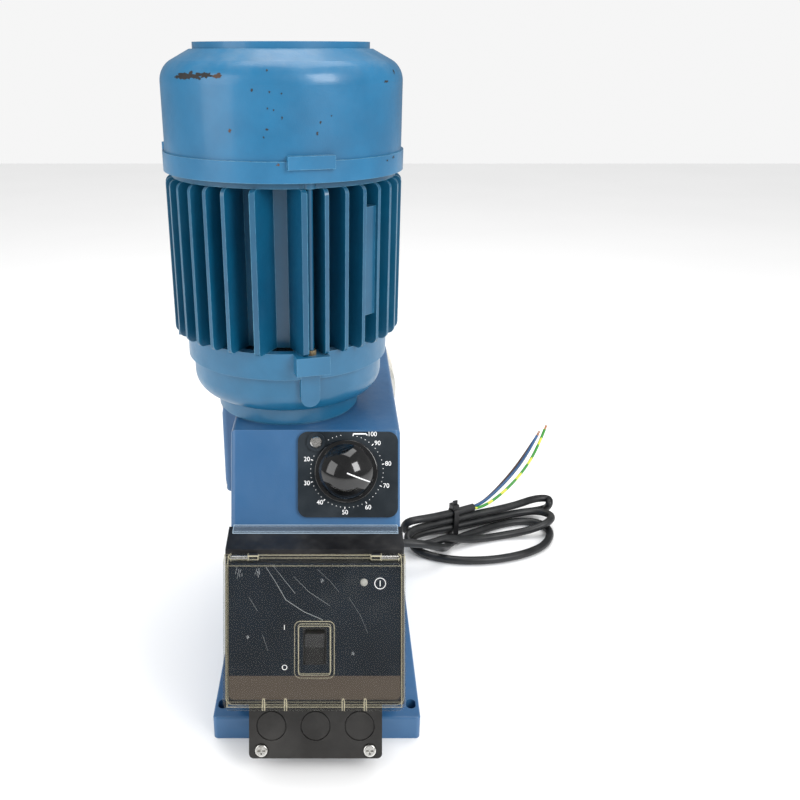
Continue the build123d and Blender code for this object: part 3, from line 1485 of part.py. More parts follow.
relief_axis = Axis((0, gland_y, gland_z), (1, 0, 0))
with BuildPart() as strain_relief:
    with BuildSketch(Plane(origin=(0, gland_y, gland_z), x_dir=(1, 0, 0), z_dir=(0, -1, 0))):
        with BuildLine():
            Polyline(
                (relief_start, cable_diameter / 2 + fit_gap),
                (relief_start, relief_radius),
                (housing_half + gland_flange, relief_radius),
                (housing_half + gland_flange, relief_radius + 1.6),
                (relief_end, relief_tip),
                (relief_end, cable_diameter / 2 + fit_gap),
                close=True,
            )
        make_face()
    revolve(axis=relief_axis)
save(strain_relief, "strain_relief")


def turn_radii(route):
    """A bend radius for every inner corner of a cord's route."""
    points = [Vector(*spot) for spot in route]
    radii = []
    for before, corner, after in zip(points, points[1:], points[2:]):
        turn = radians((corner - before).get_angle(after - corner))
        radii.append(0.45 * min((corner - before).length, (after - corner).length) / tan(turn / 2))
    return radii


def tube(route, diameter):
    """A cord of straight runs joined by tangent arcs."""
    radii = turn_radii(route)
    with BuildPart() as made:
        with BuildLine() as path:
            FilletPolyline(*route, radius=radii)
        run = path.wires()[0]
        with BuildSketch(Plane(origin=run @ 0, z_dir=run % 0)):
            Circle(diameter / 2)
        sweep(path=run)
    print("radii", [round(value, 1) for value in radii], "length", round(run.length, 1))
    return made


save(tube(cable_route, cable_diameter), "mains_cable")
for name, route in core_routes.items():
    save(tube(route, core_diameter), name)

turn = radians(coil_turn)
with BuildPart() as cable_coil:
    with BuildSketch():
        with Locations(Location((coil_x, coil_y, 0), (0, 0, coil_turn))):
            Ellipse(coil_long, coil_short)
            with Locations((0, hole_shift)):
                Ellipse(hole_long, hole_short, mode=Mode.SUBTRACT)
    extrude(amount=coil_height)
    with BuildSketch(Plane(origin=(coil_x, coil_y, 0), x_dir=(-sin(turn), cos(turn), 0), z_dir=(cos(turn), sin(turn), 0))):
        with BuildLine():
            Polyline(
                (-coil_short - cut_over, coil_front_height),
                (coil_slope_start, coil_front_height),
                (coil_slope_end, coil_height),
                (coil_slope_end, coil_height + cut_over),
                (-coil_short - cut_over, coil_height + cut_over),
                close=True,
            )
        make_face()
    extrude(amount=coil_long + cut_over, both=True, mode=Mode.SUBTRACT)
save(cable_coil, "cable_coil")

tie_inner = hole_shift + hole_short * sqrt(1 - (tie_along / hole_long) ** 2) - tie_band
tie_outer = coil_short * sqrt(1 - (tie_along / coil_long) ** 2) + tie_band
tie_spot = (coil_x + (tie_along - tie_width / 2) * cos(turn), coil_y + (tie_along - tie_width / 2) * sin(turn), 0)
tie_span = (tie_inner + tie_outer) / 2
with BuildPart() as cable_tie:
    with BuildSketch(Plane(origin=tie_spot, x_dir=(-sin(turn), cos(turn), 0), z_dir=(cos(turn), sin(turn), 0))):
        with Locations((tie_span, (coil_height + tie_band) / 2)):
            Rectangle(tie_outer - tie_inner + 2 * tie_band, coil_height + tie_band)
        with Locations((tie_span, coil_height / 2)):
            Rectangle(tie_outer - tie_inner, coil_height, mode=Mode.SUBTRACT)
        with Locations((tie_outer - 8, coil_height + tie_band + 2.5)):
            Rectangle(8, 5)
    extrude(amount=tie_width)
save(cable_tie, "cable_tie")
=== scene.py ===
import bmesh
import bpy
from math import cos, pi, radians, sin, sqrt
from mathutils import Matrix, Vector, noise


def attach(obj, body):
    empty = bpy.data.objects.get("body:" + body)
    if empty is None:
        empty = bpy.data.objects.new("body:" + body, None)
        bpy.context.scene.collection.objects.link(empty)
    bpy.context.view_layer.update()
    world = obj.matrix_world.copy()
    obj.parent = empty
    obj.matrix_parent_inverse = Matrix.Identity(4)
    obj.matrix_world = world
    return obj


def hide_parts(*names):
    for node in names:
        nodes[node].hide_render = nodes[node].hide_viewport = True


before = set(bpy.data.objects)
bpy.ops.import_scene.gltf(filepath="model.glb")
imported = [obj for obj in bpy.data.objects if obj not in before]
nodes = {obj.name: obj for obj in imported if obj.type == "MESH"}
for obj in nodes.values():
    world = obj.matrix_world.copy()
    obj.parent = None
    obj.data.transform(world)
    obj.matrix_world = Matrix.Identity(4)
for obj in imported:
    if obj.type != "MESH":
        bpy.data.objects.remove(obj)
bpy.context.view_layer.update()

# Diaphragm metering pump: finishes, print, wear and the mains lead, in the part's own frame.
# Lengths are named in millimetres and turned into metres with MM. Lengths in materials are in metres.
MM = 0.001

# The operating face leans back from its upper lip. Places on it are (across, down), and out is away from it.
LEAN = radians(22)
LIP_Y, HOUSING_TOP = -65.9, 201.4
KNOB_X, KNOB_DOWN = 18.8, 25.0
DIAL_FACE = 2.0
PANEL_FACE = 23.5
STRIP_DOWN = 143.9
COVER_FACE = 30.8
PRINT_LIFT = 0.04

# The motor's axis and the fan cowl's lower edge.
MOTOR_X, MOTOR_Y = -19.0, -13.5
COWL_LOW = 352.6

scene = bpy.context.scene


# ---- placing
def face_point(across, down, out):
    """A point of the operating face: across, down its slope, and out from it, in millimetres."""
    y = LIP_Y - down * sin(LEAN) - out * cos(LEAN)
    z = HOUSING_TOP - down * cos(LEAN) + out * sin(LEAN)
    return Vector((across, y, z)) * MM


FACE_TURN = Matrix.Rotation(pi / 2 - LEAN, 4, "X")


def link(name, data, material, body="housing"):
    """A new piece that rides on a body, with its material."""
    piece = bpy.data.objects.new(name, data)
    scene.collection.objects.link(piece)
    data.materials.append(material)
    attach(piece, body)
    return piece


def mesh_piece(name, points, faces, material, body="housing", smooth=False):
    """A piece from points in metres and faces."""
    data = bpy.data.meshes.new(name)
    data.from_pydata([tuple(p) for p in points], [], faces)
    data.update()
    if smooth:
        data.shade_smooth()
    return link(name, data, material, body)


# ---- shader groups
def new_group(name, inputs, outputs):
    """An empty shader group with named sockets: inputs are (name, kind, default)."""
    tree = bpy.data.node_groups.new(name, "ShaderNodeTree")
    for label, kind, default in inputs:
        socket = tree.interface.new_socket(name=label, in_out="INPUT", socket_type=kind)
        socket.default_value = default
    for label, kind in outputs:
        tree.interface.new_socket(name=label, in_out="OUTPUT", socket_type=kind)
    return tree, tree.nodes.new("NodeGroupInput"), tree.nodes.new("NodeGroupOutput")


def add_node(tree, kind, settings=None, values=None):
    """A node with its properties and unlinked input values set."""
    made = tree.nodes.new(kind)
    for key, value in (settings or {}).items():
        setattr(made, key, value)
    for key, value in (values or {}).items():
        made.inputs[key].default_value = value
    return made


def wire(tree, *pairs):
    """Links output sockets to input sockets."""
    for source, target in pairs:
        tree.links.new(source, target)


def math_node(tree, operation, first, second):
    """A clamped math node on a socket and a socket or number."""
    made = add_node(tree, "ShaderNodeMath", {"operation": operation, "use_clamp": True})
    wire(tree, (first, made.inputs[0]))
    if isinstance(second, (int, float)):
        made.inputs[1].default_value = second
    else:
        wire(tree, (second, made.inputs[1]))
    return made.outputs[0]


def ramp(tree, source, low, high):
    """A mask that rises from 0 at low to 1 at high."""
    limits = {"From Min": low, "From Max": high}
    made = add_node(tree, "ShaderNodeMapRange", {"interpolation_type": "SMOOTHSTEP"}, limits)
    wire(tree, (source, made.inputs["Value"]))
    return made.outputs["Result"]


SPECK_SOFTNESS = 0.08


def edge_highlight_and_wear_group():
    """Where edges and corners lie, as a plain mask for painted edge highlights, and broken up by noise for
    wear.
    """
    tree, given, result = new_group(
        "edge_highlight_and_wear",
        [
            ("Radius", "NodeSocketFloat", 0.0006),
            ("Breakup", "NodeSocketFloat", 350.0),
            ("Coverage", "NodeSocketFloat", 0.5),
        ],
        [("Edge", "NodeSocketFloat"), ("Worn", "NodeSocketFloat")],
    )
    rounded = add_node(tree, "ShaderNodeBevel", {"samples": 6})
    plain = add_node(tree, "ShaderNodeNewGeometry")
    facing = add_node(tree, "ShaderNodeVectorMath", {"operation": "DOT_PRODUCT"})
    place = add_node(tree, "ShaderNodeTexCoord")
    speck = add_node(tree, "ShaderNodeTexNoise", {}, {"Detail": 4.0, "Roughness": 0.65})
    wire(
        tree,
        (given.outputs["Radius"], rounded.inputs["Radius"]),
        (rounded.outputs["Normal"], facing.inputs[0]),
        (plain.outputs["Normal"], facing.inputs[1]),
        (place.outputs["Object"], speck.inputs["Vector"]),
        (given.outputs["Breakup"], speck.inputs["Scale"]),
    )
    away = add_node(tree, "ShaderNodeMath", {"operation": "SUBTRACT", "use_clamp": True})
    away.inputs[0].default_value = 1.0
    wire(tree, (facing.outputs["Value"], away.inputs[1]))
    edge = ramp(tree, away.outputs[0], low=0.01, high=0.16)
    limit = add_node(tree, "ShaderNodeMath", {"operation": "SUBTRACT"})
    limit.inputs[0].default_value = 1.0
    top = add_node(tree, "ShaderNodeMath", {"operation": "ADD"})
    top.inputs[1].default_value = SPECK_SOFTNESS
    keep = add_node(tree, "ShaderNodeMapRange", {"interpolation_type": "SMOOTHSTEP"})
    wire(
        tree,
        (given.outputs["Coverage"], limit.inputs[1]),
        (limit.outputs[0], top.inputs[0]),
        (speck.outputs["Fac"], keep.inputs["Value"]),
        (limit.outputs[0], keep.inputs["From Min"]),
        (top.outputs[0], keep.inputs["From Max"]),
    )
    wear_and_highlight = math_node(tree, "MULTIPLY", edge, keep.outputs["Result"])
    wire(tree, (edge, result.inputs["Edge"]), (wear_and_highlight, result.inputs["Worn"]))
    return tree


def paint_film_group():
    """Uneven colour, roughness and the fine orange peel of sprayed enamel."""
    tree, given, result = new_group(
        "paint_film",
        [
            ("Deep", "NodeSocketColor", (0.0, 0.1, 0.3, 1.0)),
            ("Pale", "NodeSocketColor", (0.1, 0.3, 0.6, 1.0)),
            ("Patch scale", "NodeSocketFloat", 14.0),
            ("Rough low", "NodeSocketFloat", 0.3),
            ("Rough high", "NodeSocketFloat", 0.5),
        ],
        [("Color", "NodeSocketColor"), ("Roughness", "NodeSocketFloat"), ("Height", "NodeSocketFloat")],
    )
    place = add_node(tree, "ShaderNodeTexCoord")
    patch = add_node(tree, "ShaderNodeTexNoise", {}, {"Detail": 5.0, "Roughness": 0.6})
    smear = add_node(tree, "ShaderNodeTexNoise", {}, {"Scale": 60.0, "Detail": 6.0, "Roughness": 0.7})
    peel = add_node(tree, "ShaderNodeTexNoise", {}, {"Scale": 900.0, "Detail": 2.0})
    for texture in (patch, smear, peel):
        wire(tree, (place.outputs["Object"], texture.inputs["Vector"]))
    wire(tree, (given.outputs["Patch scale"], patch.inputs["Scale"]))
    mix = add_node(tree, "ShaderNodeMix", {"data_type": "RGBA"})
    share = ramp(tree, patch.outputs["Fac"], low=0.3, high=0.7)
    wire(
        tree,
        (share, mix.inputs["Factor"]),
        (given.outputs["Deep"], mix.inputs["A"]),
        (given.outputs["Pale"], mix.inputs["B"]),
    )
    rough = add_node(tree, "ShaderNodeMapRange", {}, {"From Min": 0.3, "From Max": 0.7})
    wire(
        tree,
        (smear.outputs["Fac"], rough.inputs["Value"]),
        (given.outputs["Rough low"], rough.inputs["To Min"]),
        (given.outputs["Rough high"], rough.inputs["To Max"]),
        (mix.outputs["Result"], result.inputs["Color"]),
        (rough.outputs["Result"], result.inputs["Roughness"]),
        (peel.outputs["Fac"], result.inputs["Height"]),
    )
    return tree


def dust_group():
    """Dust that gathers on upward faces and in noise-shaped patches."""
    tree, given, result = new_group(
        "settled_dust",
        [("Amount", "NodeSocketFloat", 0.3), ("Scale", "NodeSocketFloat", 45.0)],
        [("Mask", "NodeSocketFloat")],
    )
    surface = add_node(tree, "ShaderNodeNewGeometry")
    split = add_node(tree, "ShaderNodeSeparateXYZ")
    place = add_node(tree, "ShaderNodeTexCoord")
    cloud = add_node(tree, "ShaderNodeTexNoise", {}, {"Detail": 6.0, "Roughness": 0.7})
    wire(
        tree,
        (surface.outputs["Normal"], split.inputs["Vector"]),
        (place.outputs["Object"], cloud.inputs["Vector"]),
        (given.outputs["Scale"], cloud.inputs["Scale"]),
    )
    up = ramp(tree, split.outputs["Z"], low=0.1, high=1.0)
    cloudy = ramp(tree, cloud.outputs["Fac"], low=0.42, high=0.75)
    both = math_node(tree, "MULTIPLY", up, cloudy)
    wire(tree, (math_node(tree, "MULTIPLY", both, given.outputs["Amount"]), result.inputs["Mask"]))
    return tree


SCRATCH_TILT = 0.4
SCRATCH_DIRECTIONS = ((0.7, 26.0), (-0.5, 34.0))


def scratch_group():
    """Fine straight scratches in two directions, with a few cloudy rubs."""
    tree, given, result = new_group(
        "fine_scratches",
        [("Scale", "NodeSocketFloat", 60.0), ("Density", "NodeSocketFloat", 0.5)],
        [("Mask", "NodeSocketFloat"), ("Haze", "NodeSocketFloat")],
    )
    place = add_node(tree, "ShaderNodeTexCoord")
    lines = []
    for turn, stretch in SCRATCH_DIRECTIONS:
        turned = add_node(tree, "ShaderNodeMapping")
        turned.inputs["Rotation"].default_value = (SCRATCH_TILT, 0.0, turn)
        turned.inputs["Scale"].default_value = (1.0, stretch, stretch)
        wavy = {"Detail": 3.0, "Roughness": 0.6, "Distortion": 0.4}
        streak = add_node(tree, "ShaderNodeTexNoise", {}, wavy)
        wire(
            tree,
            (place.outputs["Object"], turned.inputs["Vector"]),
            (turned.outputs["Vector"], streak.inputs["Vector"]),
            (given.outputs["Scale"], streak.inputs["Scale"]),
        )
        lines.append(ramp(tree, streak.outputs["Fac"], low=0.66, high=0.74))
    where = add_node(tree, "ShaderNodeTexNoise", {}, {"Scale": 38.0, "Detail": 3.0})
    haze = add_node(tree, "ShaderNodeTexNoise", {}, {"Scale": 24.0, "Detail": 8.0, "Roughness": 0.75})
    for texture in (where, haze):
        wire(tree, (place.outputs["Object"], texture.inputs["Vector"]))
    either = math_node(tree, "MAXIMUM", lines[0], lines[1])
    patchy = math_node(tree, "MULTIPLY", either, ramp(tree, where.outputs["Fac"], low=0.45, high=0.65))
    wire(
        tree,
        (math_node(tree, "MULTIPLY", patchy, given.outputs["Density"]), result.inputs["Mask"]),
        (ramp(tree, haze.outputs["Fac"], low=0.5, high=0.8), result.inputs["Haze"]),
    )
    return tree


EDGE, FILM, DUST, SCRATCH = edge_highlight_and_wear_group(), paint_film_group(), dust_group(), scratch_group()


def use_group(tree, group, values):
    """A group placed in a material, with its own values."""
    placed = add_node(tree, "ShaderNodeGroup", {"node_tree": group})
    for key, value in values.items():
        placed.inputs[key].default_value = value
    return placed


def start_material(name, **values):
    """A material with a Principled shader, and its constant values set on its sockets."""
    material = bpy.data.materials.new(name)
    material.use_nodes = True
    shader = material.node_tree.nodes["Principled BSDF"]
    for key, value in values.items():
        shader.inputs[key.replace("_", " ")].default_value = value
    return material, material.node_tree, shader


def bump(tree, shader, height, strength, distance):
    """A fine relief on a shader from a height value."""
    made = add_node(tree, "ShaderNodeBump", {}, {"Strength": strength, "Distance": distance})
    wire(tree, (height, made.inputs["Height"]), (made.outputs["Normal"], shader.inputs["Normal"]))


def mix_color(tree, mask, below, above):
    """A colour where the mask is 0, changing to another where it is 1. Each is a socket or a colour."""
    made = add_node(tree, "ShaderNodeMix", {"data_type": "RGBA"})
    wire(tree, (mask, made.inputs["Factor"]))
    for key, value in (("A", below), ("B", above)):
        if isinstance(value, tuple):
            made.inputs[key].default_value = value
        else:
            wire(tree, (value, made.inputs[key]))
    return made.outputs["Result"]


def lighter(color, factor, lift):
    """A colour with its values scaled and then lifted."""
    return tuple(min(1.0, value * factor + lift) for value in color[:3]) + (1.0,)


CHIPPED_COLOR = (0.09, 0.06, 0.045, 1.0)
ENAMEL_DUST, MOULDED_DUST = (0.42, 0.42, 0.38, 1.0), (0.38, 0.36, 0.32, 1.0)
# The first share is how far every enamelled edge is painted towards the paler colour, as a painted highlight.
EDGE_HIGHLIGHT_SHARE, CHIP_REACH = 0.55, 0.8
MOULDED_SPREAD, METAL_SPREAD = 0.12, 0.15


def enamel(name, deep, pale, wear_and_highlight, dust=0.3, coverage=0.42, patch=14.0, radius=0.0006):
    """Sprayed enamel over cast iron or steel: uneven colour, every edge painted paler as a highlight, paler
    worn patches along the edges, chips and dust.
    """
    material, tree, shader = start_material(name, Metallic=0.0, Coat_Weight=0.3, Coat_Roughness=0.16)
    sprayed = {"Deep": deep, "Pale": pale, "Patch scale": patch, "Rough low": 0.32, "Rough high": 0.5}
    film = use_group(tree, FILM, sprayed)
    edge = use_group(tree, EDGE, {"Radius": radius, "Breakup": 260.0, "Coverage": coverage})
    chipped = use_group(tree, EDGE, {"Radius": radius * CHIP_REACH, "Breakup": 420.0, "Coverage": 0.36})
    dusty = use_group(tree, DUST, {"Amount": dust, "Scale": 38.0})
    # Painted highlight: every edge is mixed part of the way to the paler colour. The noise-broken patches on
    # the next line are worn paint.
    edge_highlight_and_rub = math_node(tree, "MULTIPLY", edge.outputs["Edge"], EDGE_HIGHLIGHT_SHARE)
    color = mix_color(tree, edge_highlight_and_rub, film.outputs["Color"], wear_and_highlight)
    color = mix_color(tree, edge.outputs["Worn"], color, wear_and_highlight)
    color = mix_color(tree, chipped.outputs["Worn"], color, CHIPPED_COLOR)
    color = mix_color(tree, dusty.outputs["Mask"], color, ENAMEL_DUST)
    rough = math_node(tree, "ADD", film.outputs["Roughness"], dusty.outputs["Mask"])
    wire(tree, (color, shader.inputs["Base Color"]), (rough, shader.inputs["Roughness"]))
    bump(tree, shader, film.outputs["Height"], strength=0.12, distance=0.0004)
    return material


def moulded(name, color, rough, grain=1400.0, wear_and_highlight=None, specular=0.5, dust=0.05, relief=0.12, coat=0.0):
    """Moulded plastic or rubber with a fine grain, rubbed edges and a little dust."""
    material, tree, shader = start_material(name, Metallic=0.0, Coat_Weight=coat, Coat_Roughness=0.05)
    shader.inputs["Specular IOR Level"].default_value = specular
    pale = lighter(color, factor=1.5, lift=0.01)
    edge_highlight_and_rub = wear_and_highlight or lighter(color, factor=2.4, lift=0.04)
    rougher = rough + MOULDED_SPREAD
    skin = {"Deep": color, "Pale": pale, "Patch scale": 30.0, "Rough low": rough, "Rough high": rougher}
    film = use_group(tree, FILM, skin)
    edge = use_group(tree, EDGE, {"Radius": 0.0004, "Breakup": 300.0, "Coverage": 0.5})
    dusty = use_group(tree, DUST, {"Amount": dust, "Scale": 60.0})
    mixed = mix_color(tree, edge.outputs["Worn"], film.outputs["Color"], edge_highlight_and_rub)
    mixed = mix_color(tree, dusty.outputs["Mask"], mixed, MOULDED_DUST)
    place = add_node(tree, "ShaderNodeTexCoord")
    grained = add_node(tree, "ShaderNodeTexNoise", {}, {"Scale": grain, "Detail": 2.0})
    wire(
        tree,
        (mixed, shader.inputs["Base Color"]),
        (film.outputs["Roughness"], shader.inputs["Roughness"]),
        (place.outputs["Object"], grained.inputs["Vector"]),
    )
    bump(tree, shader, grained.outputs["Fac"], relief, distance=0.0002)
    return material


TOOL_MARKS = (1.0, 1.0, 30.0)


def metal(name, color, rough, tarnish=(0.25, 0.2, 0.15, 1.0), tarnished=0.25):
    """Machined or plated metal with fine tool marks and patches of tarnish."""
    material, tree, shader = start_material(name, Metallic=1.0)
    place = add_node(tree, "ShaderNodeTexCoord")
    mapped = add_node(tree, "ShaderNodeMapping")
    mapped.inputs["Scale"].default_value = TOOL_MARKS
    marks = add_node(tree, "ShaderNodeTexNoise", {}, {"Scale": 500.0, "Detail": 3.0})
    spots = add_node(tree, "ShaderNodeTexNoise", {}, {"Scale": 120.0, "Detail": 6.0, "Roughness": 0.7})
    wire(
        tree,
        (place.outputs["Object"], mapped.inputs["Vector"]),
        (mapped.outputs["Vector"], marks.inputs["Vector"]),
        (place.outputs["Object"], spots.inputs["Vector"]),
    )
    mask = math_node(tree, "MULTIPLY", ramp(tree, spots.outputs["Fac"], low=0.5, high=0.7), tarnished)
    limits = {"From Min": 0.3, "From Max": 0.7, "To Min": rough, "To Max": rough + METAL_SPREAD}
    rough_map = add_node(tree, "ShaderNodeMapRange", {}, limits)
    wire(
        tree,
        (mix_color(tree, mask, color, tarnish), shader.inputs["Base Color"]),
        (marks.outputs["Fac"], rough_map.inputs["Value"]),
        (rough_map.outputs["Result"], shader.inputs["Roughness"]),
    )
    bump(tree, shader, marks.outputs["Fac"], strength=0.1, distance=0.0002)
    return material


HAZE_ALPHA, SCRATCH_ALPHA, GLARE_ALPHA = 0.05, 0.16, 0.35
MARK_COLOR, MARK_TINT = (0.50, 0.52, 0.50, 1.0), 3.5


def clear_moulding(name, tint, body_alpha, edge_alpha, glow):
    """Clear moulding with a painted highlight in the glow colour along its thick edges, scratches, rubbed
    haze and a little glare.
    """
    material, tree, shader = start_material(name, Metallic=0.0, IOR=1.49)
    edge = use_group(tree, EDGE, {"Radius": 0.0013, "Breakup": 120.0, "Coverage": 0.7})
    marks = use_group(tree, SCRATCH, {"Scale": 40.0, "Density": 0.6})
    facing = add_node(tree, "ShaderNodeLayerWeight", {}, {"Blend": 0.22})
    haze = math_node(tree, "MULTIPLY", marks.outputs["Haze"], HAZE_ALPHA)
    lines = math_node(tree, "MULTIPLY", marks.outputs["Mask"], SCRATCH_ALPHA)
    glare = math_node(tree, "MULTIPLY", facing.outputs["Facing"], GLARE_ALPHA)
    # Painted highlight: every edge is made more opaque and mixed to the glow colour.
    painted_highlight_rim = math_node(tree, "MULTIPLY", edge.outputs["Edge"], edge_alpha)
    marked = math_node(tree, "ADD", haze, lines)
    total = math_node(tree, "ADD", marked, math_node(tree, "ADD", glare, painted_highlight_rim))
    alpha = math_node(tree, "ADD", total, body_alpha)
    color = mix_color(tree, math_node(tree, "MULTIPLY", marked, MARK_TINT), tint, MARK_COLOR)
    color = mix_color(tree, painted_highlight_rim, color, glow)
    rough = add_node(tree, "ShaderNodeMapRange", {}, {"To Min": 0.05, "To Max": 0.5})
    wire(
        tree,
        (color, shader.inputs["Base Color"]),
        (alpha, shader.inputs["Alpha"]),
        (lines, rough.inputs["Value"]),
        (rough.outputs["Result"], shader.inputs["Roughness"]),
    )
    return material


STRIP_BLEND = 0.2
PANEL_NAVY = {"Deep": (0.0035, 0.0075, 0.014, 1), "Pale": (0.006, 0.012, 0.021, 1)}
PANEL_SKIN = {"Patch scale": 26.0, "Rough low": 0.36, "Rough high": 0.5}
# The first colour is a painted reflection: the lighter grey-brown of a black lip catching the light. The
# second is scratches.
STRIP_REFLECTION_COLOR, PANEL_SCRATCH = (0.075, 0.058, 0.044, 1.0), (0.12, 0.13, 0.14, 1.0)


def panel_film_material():
    """Navy printed film whose lowest strip is painted a lighter grey-brown, as a painted reflection on a
    black lip facing up.
    """
    material, tree, shader = start_material("panel_film", Metallic=0.0)
    shader.inputs["Specular IOR Level"].default_value = 0.3
    film = use_group(tree, FILM, PANEL_NAVY | PANEL_SKIN)
    marks = use_group(tree, SCRATCH, {"Scale": 70.0, "Density": 0.25})
    place = add_node(tree, "ShaderNodeTexCoord")
    along = add_node(tree, "ShaderNodeVectorMath", {"operation": "DOT_PRODUCT"})
    along.inputs[1].default_value = (0.0, -sin(LEAN), -cos(LEAN))
    lip = -LIP_Y * sin(LEAN) - HOUSING_TOP * cos(LEAN)
    low, high = (lip + STRIP_DOWN) * MM, (lip + STRIP_DOWN + STRIP_BLEND) * MM
    reflection_strip = add_node(tree, "ShaderNodeMapRange", {}, {"From Min": low, "From Max": high})
    wire(tree, (place.outputs["Object"], along.inputs[0]), (along.outputs["Value"], reflection_strip.inputs["Value"]))
    # Below the strip line the film is painted grey-brown as a painted reflection.
    color = mix_color(tree, reflection_strip.outputs["Result"], film.outputs["Color"], STRIP_REFLECTION_COLOR)
    color = mix_color(tree, marks.outputs["Mask"], color, PANEL_SCRATCH)
    wire(
        tree,
        (color, shader.inputs["Base Color"]),
        (film.outputs["Roughness"], shader.inputs["Roughness"]),
    )
    bump(tree, shader, film.outputs["Height"], strength=0.02, distance=0.0002)
    return material


# ---- finishes
cowl_blue = enamel(
    "cowl_enamel", deep=(0.002, 0.098, 0.215, 1), pale=(0.009, 0.150, 0.31, 1), wear_and_highlight=(0.10, 0.27, 0.40, 1),
    dust=0.14, coverage=0.5, patch=11.0,
)
fin_blue = enamel(
    "fin_enamel", deep=(0.001, 0.060, 0.130, 1), pale=(0.003, 0.098, 0.190, 1), wear_and_highlight=(0.07, 0.24, 0.36, 1),
    dust=0.2, coverage=0.56, patch=9.0,
)
bell_blue = enamel(
    "bell_enamel", deep=(0.002, 0.088, 0.185, 1), pale=(0.010, 0.130, 0.26, 1), wear_and_highlight=(0.09, 0.24, 0.36, 1),
    dust=0.2, coverage=0.46, patch=12.0,
)
housing_blue = enamel(
    "housing_enamel", deep=(0.020, 0.092, 0.215, 1), pale=(0.034, 0.130, 0.28, 1), wear_and_highlight=(0.10, 0.19, 0.33, 1),
    dust=0.05, coverage=0.4, patch=8.0, radius=0.001,
)
black_plastic = moulded("black_moulding", (0.005, 0.005, 0.006, 1), rough=0.3)
knob_black = moulded(
    "knob_gloss", (0.001, 0.0012, 0.0016, 1), rough=0.06, coat=0.8, specular=0.3, relief=0.01, dust=0.02,
)
brown_black = moulded("terminal_moulding", (0.006, 0.005, 0.004, 1), rough=0.42)
dial_film = moulded("dial_film", (0.005, 0.010, 0.015, 1), rough=0.42, specular=0.3, dust=0.03, relief=0.03)
rubber = moulded("black_rubber", (0.006, 0.006, 0.007, 1), rough=0.45)
sheath = moulded("cable_sheath", (0.006, 0.007, 0.008, 1), rough=0.36, grain=2400.0)
head_pp = moulded("head_moulding", (0.52, 0.50, 0.44, 1), rough=0.4)
ceramic = moulded("valve_ball_ceramic", (0.78, 0.77, 0.73, 1), rough=0.1)
board_green = moulded("circuit_laminate", (0.01, 0.09, 0.035, 1), rough=0.35)
steel = metal("bright_steel", (0.62, 0.62, 0.61, 1), rough=0.2)
zinc = metal("zinc_plated_steel", (0.70, 0.69, 0.66, 1), rough=0.16, tarnished=0.35)
rusty = metal("bare_seat", (0.55, 0.42, 0.24, 1), rough=0.45, tarnish=(0.12, 0.06, 0.03, 1.0), tarnished=0.6)
bronze = metal("bronze", (0.62, 0.40, 0.17, 1), rough=0.25)
copper = metal("copper_strand", (0.80, 0.42, 0.24, 1), rough=0.28)
laminated = metal("core_sheet", (0.26, 0.26, 0.27, 1), rough=0.4)
clear = clear_moulding(
    "clear_cover_moulding", (0.055, 0.055, 0.045, 1.0), body_alpha=0.05, edge_alpha=0.85,
    glow=(0.62, 0.57, 0.40, 1.0),
)
clear_strip = clear_moulding(
    "clear_strip_moulding", (0.16, 0.22, 0.30, 1.0), body_alpha=0.34, edge_alpha=0.8,
    glow=(0.40, 0.52, 0.62, 1.0),
)
lamp_clear = clear_moulding(
    "lamp_lens", (0.55, 0.55, 0.50, 1.0), body_alpha=0.7, edge_alpha=0.2, glow=(0.8, 0.8, 0.75, 1.0),
)
navy_film = panel_film_material()
white_print = moulded("white_print", (0.72, 0.73, 0.74, 1), rough=0.5, dust=0.1)
bare_iron = moulded("chipped_spot", (0.008, 0.007, 0.007, 1), rough=0.6, wear_and_highlight=(0.06, 0.035, 0.02, 1))
rust_spot = moulded("rusted_spot", (0.055, 0.028, 0.018, 1), rough=0.7, wear_and_highlight=(0.10, 0.06, 0.04, 1))
core_blue_skin = moulded("core_blue_skin", (0.010, 0.062, 0.16, 1), rough=0.3)
core_brown_skin = moulded("core_brown_skin", (0.055, 0.018, 0.008, 1), rough=0.35)


STRIPE_TILT = (0.5, 0.6, 0.2)


def striped_core(name, green, yellow):
    """Earth core insulation with a yellow stripe winding round the green."""
    material, tree, shader = start_material(name, Metallic=0.0)
    place = add_node(tree, "ShaderNodeTexCoord")
    turned = add_node(tree, "ShaderNodeMapping")
    turned.inputs["Rotation"].default_value = STRIPE_TILT
    banded = {"wave_type": "BANDS", "bands_direction": "Y"}
    bands = add_node(tree, "ShaderNodeTexWave", banded, {"Scale": 42.0, "Distortion": 1.2})
    wire(
        tree,
        (place.outputs["Object"], turned.inputs["Vector"]),
        (turned.outputs["Vector"], bands.inputs["Vector"]),
    )
    stripe = ramp(tree, bands.outputs["Fac"], low=0.66, high=0.78)
    film = use_group(tree, FILM, {"Rough low": 0.28, "Rough high": 0.42})
    wire(
        tree,
        (mix_color(tree, stripe, green, yellow), shader.inputs["Base Color"]),
        (film.outputs["Roughness"], shader.inputs["Roughness"]),
    )
    bump(tree, shader, film.outputs["Height"], strength=0.1, distance=0.0002)
    return material


core_earth_skin = striped_core("core_earth_skin", green=(0.03, 0.26, 0.02, 1), yellow=(0.62, 0.62, 0.05, 1))

